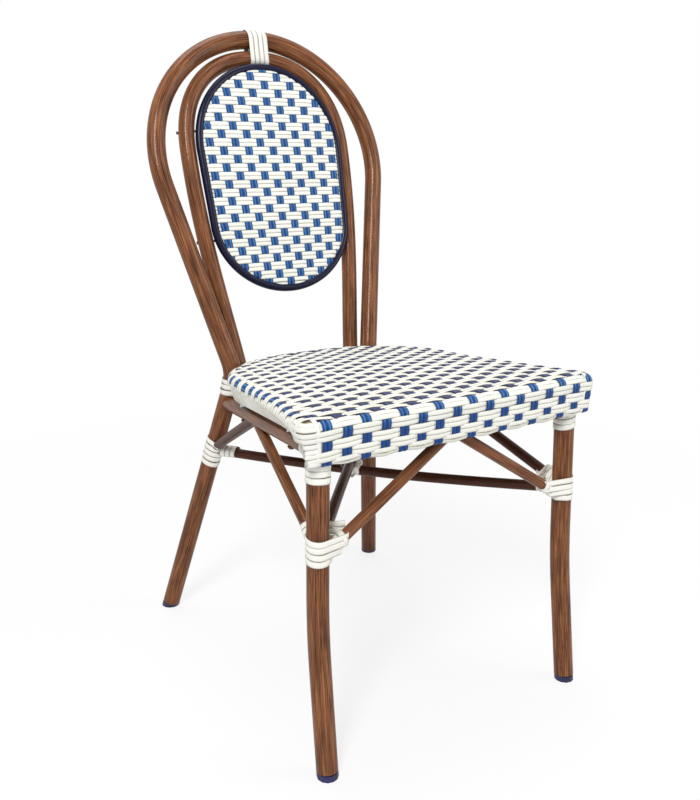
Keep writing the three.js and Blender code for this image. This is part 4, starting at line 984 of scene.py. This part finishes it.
def make_seat(sizes):
    """The woven seat: white rows across, blue columns along, rows wrapped round the front and the rear."""
    values = {"Width": sizes.strand_width, "Thickness": sizes.strand_thickness}
    half = sizes.strand_width / MM / 2
    apart = half + 0.1
    white = finish_of("white")
    rows = [white_row(row, shift) for row in range(1, LAST_ROW + 1) for shift in (-apart, apart)]
    swept("seat_white_rows", "strand", rows, values, white, ["seat_weave"])
    wraps = []
    for row, depth in FRONT_DOWN.items():
        for shift in (apart, -apart):
            wraps.append(wrapped_row(row, depth, shift, -FRONT_WRAP, FRONT_WRAP, 1.2, front_column_at, True))
    start = edge_reach(1, REAR_FROM - 13)
    end = OUTLINE_LENGTH - start
    for step, depth in REAR_DOWN.items():
        for shift in (-apart, apart):
            row = LAST_ROW + 1 + step
            wraps.append(wrapped_row(row, depth, shift, start, end, 2.0, rear_column_at, False))
    swept("seat_white_wraps", "strand", wraps, values, white)
    columns = [blue_column(column, shift) for column in range(-7, 8) for shift in (-half, half)]
    columns += [edge_column(side, shift) for side in (-1, 1) for shift in (-half, half)]
    swept("seat_blue_columns", "strand", columns, values, finish_of("blue"))
    make_linings()


def lining(name, profiles, tips=()):
    """A thin closed sheet from profiles set round the seat. A profile is a loop, or ends at the tips."""
    ring = len(profiles[0])
    vertices = [in_model(point) for profile in profiles for point in profile]
    vertices += [in_model(tip) for tip in tips]
    faces = []
    for place in range(len(profiles)):
        here, there = place * ring, (place + 1) % len(profiles) * ring
        for step in range(ring - 1 if tips else ring):
            after = (step + 1) % ring
            faces.append((here + step, here + after, there + after, there + step))
        if tips:
            faces.append((here, there, len(vertices) - 2))
            faces.append((here + ring - 1, len(vertices) - 1, there + ring - 1))
    mesh = bpy.data.meshes.new(name)
    mesh.from_pydata(vertices, [], faces)
    mesh.shade_smooth()
    finished(name, mesh, finish_of("lining"))


def make_linings():
    """Sheets under the weave of the skirt and of the top, which close the gaps between the strands."""
    # The sheets close the gaps; their tan lining colour is painted shade, the shade seen between the strands
    skirt_shares = [0.0, 0.09, 0.2, 0.32, 0.45, 0.6, 0.8, 1.0]
    top_scales = [0.2, 0.4, 0.6, 0.8, 1.0]
    upper, lower = 3.8, 5.2
    sheet = [(scale, upper) for scale in top_scales] + [(scale, lower) for scale in top_scales[::-1]]
    skirt, top = [], []
    for place in range(0, len(OUTLINE), 5):
        reach = OUTLINE_LENGTH * place / len(OUTLINE)
        length = skirt_length(reach)
        downs = [share * length for share in skirt_shares]
        outer, inner = ([on_skirt(reach, down, lift)[0] for down in downs] for lift in (-3.6, -5.0))
        skirt.append(outer + inner[::-1])
        edge = OUTLINE[place] - OUTLINE_NORMALS[place] * EDGE_ROUND
        profile = []
        for scale, drop in sheet:
            x, y = edge.x * scale, SEAT_CENTRE_Y + (edge.y - SEAT_CENTRE_Y) * scale
            profile.append(spot(x, y, top_height(x, y) - drop))
        top.append(profile)
    lining("seat_skirt_lining", skirt)
    middle = top_height(0, SEAT_CENTRE_Y)
    lining("seat_top_lining", top, [spot(0, SEAT_CENTRE_Y, middle - drop) for drop in (upper, lower)])


# The oval back panel

# The panel's outline is two half ovals joined by straight flanks: middle up the rake, half width, half height
UPPER, LOWER = (308, 129.5, 134.4), (190, 124, 113.5)
PANEL_MIDDLE = 13.0
PANEL_ROW, PANEL_ROW_ZERO, PANEL_WAVE = 13.1, 328, 0.75
END_INSET = 7.0
PANEL_PITCHES = (
    (60, 19.0), (118, 19.5), (144, 19.8), (170, 20.4), (196, 20.9),
    (248, 21.4), (328, 21.7), (381, 22.3), (421, 23.5), (460, 24.0),
)


def panel_half_width(rise, inset):
    if LOWER[0] <= rise <= UPPER[0]:
        return mix(LOWER[1], UPPER[1], (rise - LOWER[0]) / (UPPER[0] - LOWER[0])) - inset
    middle, wide, tall = UPPER if rise > UPPER[0] else LOWER
    share = (rise - middle) / (tall - inset)
    return (wide - inset) * math.sqrt(max(0.0, 1 - share**2))


def panel_inset(x, rise):
    """Roughly how far a place of the panel is from its outline."""
    if LOWER[0] <= rise <= UPPER[0]:
        return panel_half_width(rise, 0) - abs(x)
    (middle, wide, tall), reach = (UPPER, 130) if rise > UPPER[0] else (LOWER, 116)
    return (1 - math.hypot(x / wide, (rise - middle) / tall)) * reach


def panel_point(x, rise, facing, wave):
    """Point and facing on one face of the panel, which falls off towards the piping."""
    fall = smooth(panel_inset(x, rise), 5, 19)
    forward = PANEL_MIDDLE + facing * (mix(1.6, 4.4, fall) + wave)
    return on_inner(x, rise, forward), INNER_FORWARD * facing


def panel_lines(facing, spread):
    """The white and the blue strands of one face."""
    whites, blues = [], []
    for row in range(-20, 10):
        for shift in (-spread, spread):
            rise = PANEL_ROW_ZERO + PANEL_ROW * row + shift
            half = panel_half_width(rise, END_INSET)
            if half < 12:
                continue
            line = []
            count = max(4, int(2 * half / 3.6))
            for step in range(count + 1):
                x = mix(-half, half, step / count)
                wave = -PANEL_WAVE * math.cos(math.pi * (x / between(PANEL_PITCHES, rise) + row))
                line.append(panel_point(x, rise, facing, wave))
            whites.append(strand_line(line))
    for column in range(-5, 6):
        for shift in (-spread, spread):
            line = []
            rise = 78.0
            while rise < 442:
                x = between(PANEL_PITCHES, rise) * column + shift
                if panel_inset(x, rise) > END_INSET:
                    index = (rise - PANEL_ROW_ZERO) / PANEL_ROW
                    wave = PANEL_WAVE * math.cos(math.pi * (column + index))
                    line.append(panel_point(x, rise, facing, wave))
                rise += 2.2
            if len(line) > 4:
                blues.append(strand_line(line))
    return whites, blues


def make_back(sizes):
    """Both woven faces of the oval panel and the piping round it."""
    values = {"Width": sizes.strand_width, "Thickness": sizes.strand_thickness}
    for word, facing in (("front", 1), ("rear", -1)):
        whites, blues = panel_lines(facing, sizes.strand_width / MM / 2 + 0.05)
        node = [f"back_panel_weave_{word}"]
        swept(f"back_white_rows_{word}", "strand", whites, values, finish_of("white"), node)
        swept(f"back_blue_columns_{word}", "strand", blues, values, finish_of("blue"))
    inset = sizes.piping_radius / MM
    points = []
    for step in range(96):
        angle = 2 * math.pi * step / 96
        middle, wide, tall = UPPER if math.sin(angle) >= 0 else LOWER
        rise = middle + (tall - inset) * math.sin(angle)
        points.append(on_inner((wide - inset) * math.cos(angle), rise, PANEL_MIDDLE))
    line = {"points": spaced(points + [points[0]], 9)[:-1], "closed": True}
    values = {"Radius": sizes.piping_radius, "Sides": 24}
    swept("back_piping", "tube", [line], values, finish_of("piping"), ["back_panel_piping"])


# Bindings


LEG_R, HOOP_R, RAIL_R, ROD_R = 14, 12.5, 10, 7.5
CROWN_PITCH = 8.3


def taut(angle, circles):
    """The point of a taut loop round circles where the loop faces one direction."""
    ahead, beside = math.cos(angle), math.sin(angle)
    x, y, radius = max(circles, key=lambda circle: circle[0] * ahead + circle[1] * beside + circle[2])
    return x + radius * ahead, y + radius * beside


def wound(frame_at, turns, pitch, outset, steps, start, sense, wobble):
    """A strap wound in turns. frame_at gives, at a distance along the axis, the middle, the axis, two
    directions across it, the circles that each turn goes round, and how far a turn tilts."""
    phase = random.uniform(0, 6)
    places = []
    for index in range(round(turns * steps) + 1):
        turn = index / steps
        angle = start + sense * 2 * math.pi * turn
        middle, axis, across, beside, circles, tilt = frame_at(turn * pitch)
        rise = wobble * math.sin(2.7 * turn + phase) + tilt * (1 - math.cos(angle)) / 2
        x, y = taut(angle, [(x, y, radius + outset) for x, y, radius in circles])
        outward = across * math.cos(angle) + beside * math.sin(angle)
        places.append((middle + across * x + beside * y + axis * rise, outward))
    line = places[:1]
    for point, outward in places[1:]:
        first, before = line[-1]
        gap = (point - first).length
        if gap < 0.05:
            continue
        parts = max(1, math.ceil(gap / 8))
        for part in range(1, parts + 1):
            share = part / parts
            line.append((first.lerp(point, share), before.lerp(outward, share).normalized()))
    return strand_line(line)


def straight_frame(start, direction, circles, across=None, tilt=0.0):
    axis = direction.normalized()
    across = across or Vector((0, 0, 1)).cross(axis)
    across = (across - axis * across.dot(axis)).normalized()
    beside = axis.cross(across)
    return lambda distance: (start + axis * distance, axis, across, beside, circles, tilt)


def joint_frame(leg, base, rods, tilt):
    """Level loops from a height up, round a leg and the feet of the rods that leave it."""
    axis = (at_height(leg, base + 60) - at_height(leg, base)).normalized()
    towards = spot(-math.copysign(1, leg[0].x), -math.copysign(1, leg[0].y))
    across = (towards - axis * towards.dot(axis)).normalized()
    beside = axis.cross(across)

    def at(distance):
        height = base + distance
        middle = at_height(leg, height)
        circles = [(0, 0, LEG_R)]
        for foot, head, reach in rods:
            if height < foot.z - 2:
                continue
            direction = (head - foot).normalized()
            run = direction / max(abs(direction.z), 0.05) * (height - foot.z)
            run.z = 0
            offset = (foot - middle) + (run.normalized() * min(run.length, reach) if run.length else run)
            circles.append((offset.dot(across), offset.dot(beside), ROD_R))
        return middle, axis, across, beside, circles, tilt

    return at


def seat_frame(side, back):
    """Level loops round a rear leg and the inner hoop beside it."""

    def at(distance):
        middle = at_height(back, 392 + distance)
        rise = (392 + distance - INNER_BASE[1]) / math.cos(INNER_RAKE)
        hoop = on_inner(side * inner_half_width(rise), rise) - middle
        circles = [(0, 0, LEG_R), (hoop.x, hoop.y, HOOP_R)]
        return middle, Vector((0, 0, 1)), Vector((1, 0, 0)), Vector((0, 1, 0)), circles, 0.0

    return at


def make_bindings(sizes):
    """White straps round every joint, the crown and the crossing of the stretchers."""
    width, thick = sizes.strap_width, sizes.strap_thickness
    out, pitch = thick / MM / 2 + 0.15, width / MM * 1.03

    def bind(name, node, lines, share=1):
        values = {"Width": width * share, "Thickness": thick}
        swept(name, "strand", lines, values, finish_of("strap"), [node])

    def sleeve(foot, head, away, turns, extra, wobble, side):
        """A short winding round a rod, away from its foot."""
        run = (head - foot).normalized()
        along = straight_frame(foot + run * away, run, [(0, 0, ROD_R)])
        return wound(along, turns, pitch, out + extra, 32, 0, side, wobble)

    crossing = spot(0, -2, CROSS_Z)
    front_head, rear_head = brace_heads()
    for word, side in SIDES.items():
        leg, back, head = front_leg(side), rear_leg(side), rail_point(side, 0)
        foot, side_foot, cross_foot = (at_height(leg, z) for z in (FRONT_BRACE_Z, BRACE_Z, CROSS_Z))
        around = joint_frame(leg, 286, [(foot, front_head, 34), (side_foot, head, 16)], -7)
        lines = [
            wound(around, 4.0, pitch, out, 48, side * 0.2, side, 0.4),
            sleeve(foot, front_head, 19, 3.2, 0.7, 0.3, side),
            sleeve(side_foot, head, 12, 3.0, 0.5, 0.2, side),
            sleeve(cross_foot, crossing, 15, 2.2, 0.5, 0.2, side),
        ]
        bind(f"front_joint_wrap_{word}", f"front_joint_binding_{word}", lines)

        foot = at_height(back, BRACE_Z)
        around = joint_frame(back, 272, [(foot, rear_head, 16), (foot, head, 16)], 6)
        lines = [
            wound(around, 4.2, pitch, out, 48, side * 2.6, -side, 0.4),
            sleeve(at_height(back, CROSS_Z), crossing, 15, 3.0, 0.5, 0.3, side),
        ]
        bind(f"rear_joint_wrap_{word}", f"rear_joint_binding_{word}", lines)

        start, rail_end = at_height(leg, 381), rail_point(side, -203)
        around = straight_frame(start, at_height(leg, 420) - start, [(0, 0, LEG_R)], tilt=3)
        along = straight_frame(rail_end, rail_point(side, -224) - rail_end, [(0, 0, RAIL_R)], tilt=4)
        lines = [
            wound(around, 3.4, pitch, out, 40, side * 2.0, side, 0.5),
            wound(along, 3.0, pitch, out, 36, side, side, 0.3),
        ]
        bind(f"leg_top_wrap_{word}", f"leg_top_binding_{word}", lines)

        lines = [wound(seat_frame(side, back), 3, pitch, out + 0.4, 48, 0, side, 0.3)]
        bind(f"rear_seat_wrap_{word}", f"rear_seat_binding_{word}", lines)

    outer = on_back(0, HOOP_CENTRE + HOOP_RADIUS * math.cos(BACK_RAKE))
    inner = on_inner(0, CROWN_RISE)
    centre, up, apart = (outer + inner) / 2, (outer - inner).normalized(), (outer - inner).length / 2
    sideways = Vector((1, 0, 0))
    circles = [(apart, 0, LEG_R), (-apart, 0, HOOP_R)]

    def crown(distance):
        x = 3 + distance - 2 * CROWN_PITCH
        middle = centre - up * (x**2 / (2 * HOOP_RADIUS))
        middle.x = x
        return middle, sideways, up, sideways.cross(up), circles, 0.0

    bind("crown_wrap", "crown_binding", [wound(crown, 4, CROWN_PITCH, out, 48, 0, 1, 0.1)], 0.97)

    lines = []
    rods = [(0, CROSS_BOW, ROD_R), (0, -CROSS_BOW, ROD_R), (9, 0, 4), (-9, 0, 4)]
    for way in (1, -1):
        across = spot(math.cos(0.78), way * math.sin(0.78))
        along = straight_frame(crossing - across * 10, across, rods, spot(-across.y, across.x))
        lines.append(wound(along, 2.6, pitch, out + 0.3 * way, 48, 0, way, 0.3))
    bind("crossing_wrap", "cross_binding", lines)


# Glides and fittings


FITTINGS = {
    "foot_glide": "glide",
    "seat_frame": "aluminium",
    "seat_support": "aluminium",
    "seat_spacer": "aluminium",
    "back_panel_ring": "aluminium",
    "seat_bolt": "screw",
    "panel_screw": "screw",
    "cross_rivet": "zinc",
}


def make_fittings():
    """Finishes for the glides, the hidden seat and panel frames, and every bolt and screw."""
    for name, node in frame["nodes"].items():
        for start, finish in FITTINGS.items():
            if name.startswith(start):
                node.data.materials.clear()
                node.data.materials.append(finish_of(finish))


# Stage

WHITE = (1, 1, 1, 1)
FLOOR_SIZE = 12.0
# Each lamp's place, the height that it is turned to, its width and its height
LAMPS = {
    "key": ((-1.9, -1.9, 2.8), 0.5, 0.7, 1.6),
    "fill": ((2.4, -2.0, 1.6), 0.5, 1.6, 1.8),
    "top": ((0.2, 0.6, 3.0), 0.4, 1.8, 1.8),
}
CAMERA_PLACE, CAMERA_SIGHT = (-0.693, -1.093, 0.750), (0.5157, 0.8160, -0.2613)
CAMERA_SHIFT = (0.0006, -0.0032)
FOCAL_PIXELS, FRAME_PIXELS, SENSOR = 894.7, 800, 36


def seen(tree):
    """1 for what the camera sees, directly, in a reflection or through something, and 0 for light."""
    path = tree.nodes.new("ShaderNodeLightPath").outputs
    direct = math_node(tree, "MAXIMUM", path["Is Camera Ray"], path["Is Glossy Ray"])
    return math_node(tree, "MAXIMUM", direct, path["Is Transmission Ray"])


def blended(tree, share, first, second):
    node = put(tree, "ShaderNodeMixShader", Fac=share)
    tree.links.new(first, node.inputs[1])
    tree.links.new(second, node.inputs[2])
    return node.outputs["Shader"]


def make_stage(settings):
    """A pale floor with a soft shadow, light from all round, three lamps and the camera."""
    scene = bpy.context.scene
    scene.view_settings.view_transform = "Standard"
    scene.world = bpy.data.worlds.new("Studio")
    scene.world.use_nodes = True
    tree = scene.world.node_tree
    tree.nodes.clear()
    light = put(tree, "ShaderNodeBackground", Color=WHITE, Strength=settings.sky).outputs["Background"]
    plain = put(tree, "ShaderNodeBackground", Color=WHITE, Strength=1.0).outputs["Background"]
    put(tree, "ShaderNodeOutputWorld", Surface=blended(tree, seen(tree), light, plain))

    mesh = bpy.data.meshes.new("floor")
    corners = [(x * FLOOR_SIZE, y * FLOOR_SIZE, 0) for x, y in ((-1, -1), (1, -1), (1, 1), (-1, 1))]
    mesh.from_pydata(corners, [], [(0, 1, 2, 3)])
    floor = bpy.data.objects.new("floor", mesh)
    scene.collection.objects.link(floor)
    material, tree, shader = new_material("Pale floor")
    wire(tree, shader, Base_Color=(0.8, 0.8, 0.8, 1), Roughness=0.9)
    place = tree.nodes.new("ShaderNodeTexCoord").outputs["Object"]
    away = put(tree, "ShaderNodeVectorMath", {"operation": "LENGTH"}, Vector=place).outputs["Value"]
    near = span_of(tree, away, 0.6, 1.5, settings.shadow, 0.0)
    glow = put(tree, "ShaderNodeEmission", Color=WHITE, Strength=1.0).outputs["Emission"]
    soft = put(tree, "ShaderNodeBsdfDiffuse", Color=WHITE).outputs["BSDF"]
    surface = blended(tree, seen(tree), shader.outputs["BSDF"], blended(tree, near, glow, soft))
    out = next(node for node in tree.nodes if node.type == "OUTPUT_MATERIAL")
    tree.links.new(surface, out.inputs["Surface"])
    mesh.materials.append(material)

    for name, (place, height, width, tall) in LAMPS.items():
        data = bpy.data.lights.new(name, "AREA")
        data.shape = "RECTANGLE"
        data.size, data.size_y = width, tall
        data.energy = getattr(settings, name)
        lamp = bpy.data.objects.new(name, data)
        lamp.location = place
        lamp.rotation_euler = (Vector((0, 0, height)) - Vector(place)).to_track_quat("-Z", "Y").to_euler()
        scene.collection.objects.link(lamp)

    data = bpy.data.cameras.new("camera")
    data.lens = FOCAL_PIXELS * SENSOR / FRAME_PIXELS
    data.sensor_width = SENSOR
    data.shift_x, data.shift_y = CAMERA_SHIFT
    camera = bpy.data.objects.new("camera", data)
    camera.location = Vector(CAMERA_PLACE) + Vector((0, SHIFT_Y * MM, 0))
    camera.rotation_mode = "QUATERNION"
    camera.rotation_quaternion = Vector(CAMERA_SIGHT).to_track_quat("-Z", "Y")
    scene.collection.objects.link(camera)
    scene.camera = camera


# Settings


def metres(name, description, value):
    settings = {"default": value, "min": 0.0001, "unit": "LENGTH", "precision": 4}
    return bpy.props.FloatProperty(name=name, description=description, **settings)


def swatch(name, description, code):
    settings = {"default": tone(code), "size": 4, "min": 0, "max": 1, "subtype": "COLOR"}
    return bpy.props.FloatVectorProperty(name=name, description=description, **settings)


def level(name, description, value, **more):
    return bpy.props.FloatProperty(name=name, description=description, default=value, min=0, **more)


class ChairSizes(bpy.types.PropertyGroup):
    frame_radius: metres("Leg radius", "Radius of the legs and of the outer hoop", 0.014)
    hoop_radius: metres("Inner hoop radius", "Radius of the inner hoop", 0.0125)
    rail_radius: metres("Rail radius", "Radius of the rails under the seat", 0.010)
    brace_radius: metres("Brace radius", "Radius of the braces and cross stretchers", 0.0075)
    piping_radius: metres("Piping radius", "Radius of the piping round the back panel", 0.0062)
    strand_width: metres("Strand width", "Width of one woven strand", 0.0063)
    strand_thickness: metres("Strand thickness", "Thickness of one woven strand", 0.0016)
    strap_width: metres("Strap width", "Width of the binding straps", 0.0082)
    strap_thickness: metres("Strap thickness", "Thickness of the binding straps", 0.0013)


class ChairColours(bpy.types.PropertyGroup):
    tube: swatch("Tube", "Main brown of the legs and hoops", "#75462c")
    tube_dark: swatch("Tube streaks", "Dark streaks of the legs and hoops", "#301a0d")
    tube_light: swatch("Tube lights", "Pale streaks of the legs and hoops", "#a26b45")
    # Painted shade: rail, its streaks and its lights are the bamboo paint made darker, for the tubes that lie
    # in shade
    rail: swatch("Rail", "Main brown of the front and rear rails and the stretchers", "#48261a")
    rail_shade_streaks: swatch("Rail streaks", "Dark streaks of those rails", "#2a140d")
    rail_shade_lights: swatch("Rail lights", "Pale streaks of those rails", "#633a27")
    cream: swatch("Cream strand", "White strands of the seat and back", "#f3f4ec")
    # Painted shade along the white strands' edges, and the colour of their faint dust
    cream_edge_shade_and_dust: swatch("Cream edge", "Edges of the white strands", "#b8ad92")
    blue: swatch("Blue strand", "Blue strands of the seat and back", "#144485")
    # Painted shade along the blue strands' edges, and the colour of their faint dust
    blue_edge_shade_and_dust: swatch("Blue edge", "Edges of the blue strands", "#0a2148")
    # Painted highlight: the pale band along a blue strand where it is rounded
    blue_painted_highlight: swatch("Blue light", "Pale band along a blue strand", "#4a90c4")
    # Painted shade: the darker grey-violet of blue strands that lie level on the seat's top
    blue_top_painted_shade: swatch("Blue on top", "Blue strands where they lie level on the seat", "#393b5e")
    strap: swatch("Strap", "Binding straps", "#f7f5ec")
    # Painted shade along the straps' edges, and the colour of their faint dust
    strap_edge_shade_and_dust: swatch("Strap edge", "Edges of the binding straps", "#8f8a84")
    # Painted shade: the tan of the sheets under the weave, which stands for the shade seen between the
    # strands
    lining: swatch("Lining", "Wrapped strips under the weave", "#b5aa8e")
    navy: swatch("Piping", "Piping round the back panel", "#0d0e2c")
    glide: swatch("Glides", "Foot glides", "#23245e")


class ChairStage(bpy.types.PropertyGroup):
    sky: level("Sky", "Strength of the light from all round", 0.27)
    key: level("Key", "Power of the key lamp", 88, subtype="POWER")
    fill: level("Fill", "Power of the fill lamp", 31, subtype="POWER")
    top: level("Top", "Power of the top lamp", 30, subtype="POWER")
    shadow: level("Floor shadow", "How much of the shadow the floor shows", 0.2, max=1, subtype="FACTOR")


class CHAIR_OT_stage(bpy.types.Operator):
    """Make the floor, the lamps and the camera"""

    bl_idname = "chair.stage"
    bl_label = "Stage"

    def execute(self, context):
        make_stage(context.scene.chair_stage)
        return {"FINISHED"}


class CHAIR_OT_tubes(bpy.types.Operator):
    """Make the legs, hoops, rails, braces and stretchers"""

    bl_idname = "chair.tubes"
    bl_label = "Tubes"

    def execute(self, context):
        make_tubes(context.scene.chair_sizes)
        return {"FINISHED"}


class CHAIR_OT_seat(bpy.types.Operator):
    """Weave the seat"""

    bl_idname = "chair.seat"
    bl_label = "Woven seat"

    def execute(self, context):
        make_seat(context.scene.chair_sizes)
        return {"FINISHED"}


class CHAIR_OT_back(bpy.types.Operator):
    """Weave both faces of the back panel and lay its piping"""

    bl_idname = "chair.back"
    bl_label = "Woven back"

    def execute(self, context):
        make_back(context.scene.chair_sizes)
        return {"FINISHED"}


class CHAIR_OT_bindings(bpy.types.Operator):
    """Wind the straps round the joints"""

    bl_idname = "chair.bindings"
    bl_label = "Bindings"

    def execute(self, context):
        make_bindings(context.scene.chair_sizes)
        return {"FINISHED"}


class CHAIR_OT_fittings(bpy.types.Operator):
    """Finish the glides, hidden frames, bolts and screws"""

    bl_idname = "chair.fittings"
    bl_label = "Fittings"

    def execute(self, context):
        make_fittings()
        return {"FINISHED"}


OPERATORS = (
    CHAIR_OT_stage, CHAIR_OT_tubes, CHAIR_OT_seat, CHAIR_OT_back, CHAIR_OT_bindings, CHAIR_OT_fittings
)


class CHAIR_PT_panel(bpy.types.Panel):
    """Lists the chair's pieces and settings"""

    bl_label = "Bistro chair"
    bl_idname = "CHAIR_PT_panel"
    bl_space_type = "VIEW_3D"
    bl_region_type = "UI"
    bl_category = "Chair"

    def draw(self, context):
        for operator in OPERATORS:
            self.layout.operator(operator.bl_idname)
        for settings in (context.scene.chair_sizes, context.scene.chair_colours, context.scene.chair_stage):
            box = self.layout.box()
            for name in settings.__annotations__:
                box.prop(settings, name)


CLASSES = (ChairSizes, ChairColours, ChairStage, *OPERATORS, CHAIR_PT_panel)


def register():
    for kind in CLASSES:
        bpy.utils.register_class(kind)
    bpy.types.Scene.chair_sizes = bpy.props.PointerProperty(type=ChairSizes)
    bpy.types.Scene.chair_colours = bpy.props.PointerProperty(type=ChairColours)
    bpy.types.Scene.chair_stage = bpy.props.PointerProperty(type=ChairStage)


def unregister():
    del bpy.types.Scene.chair_stage
    del bpy.types.Scene.chair_colours
    del bpy.types.Scene.chair_sizes
    for kind in reversed(CLASSES):
        bpy.utils.unregister_class(kind)


def main():
    random.seed(11)
    register()
    for operator in OPERATORS:
        call = getattr(bpy.ops.chair, operator.bl_idname.split(".")[1])
        call()


if __name__ == "__main__":
    main()
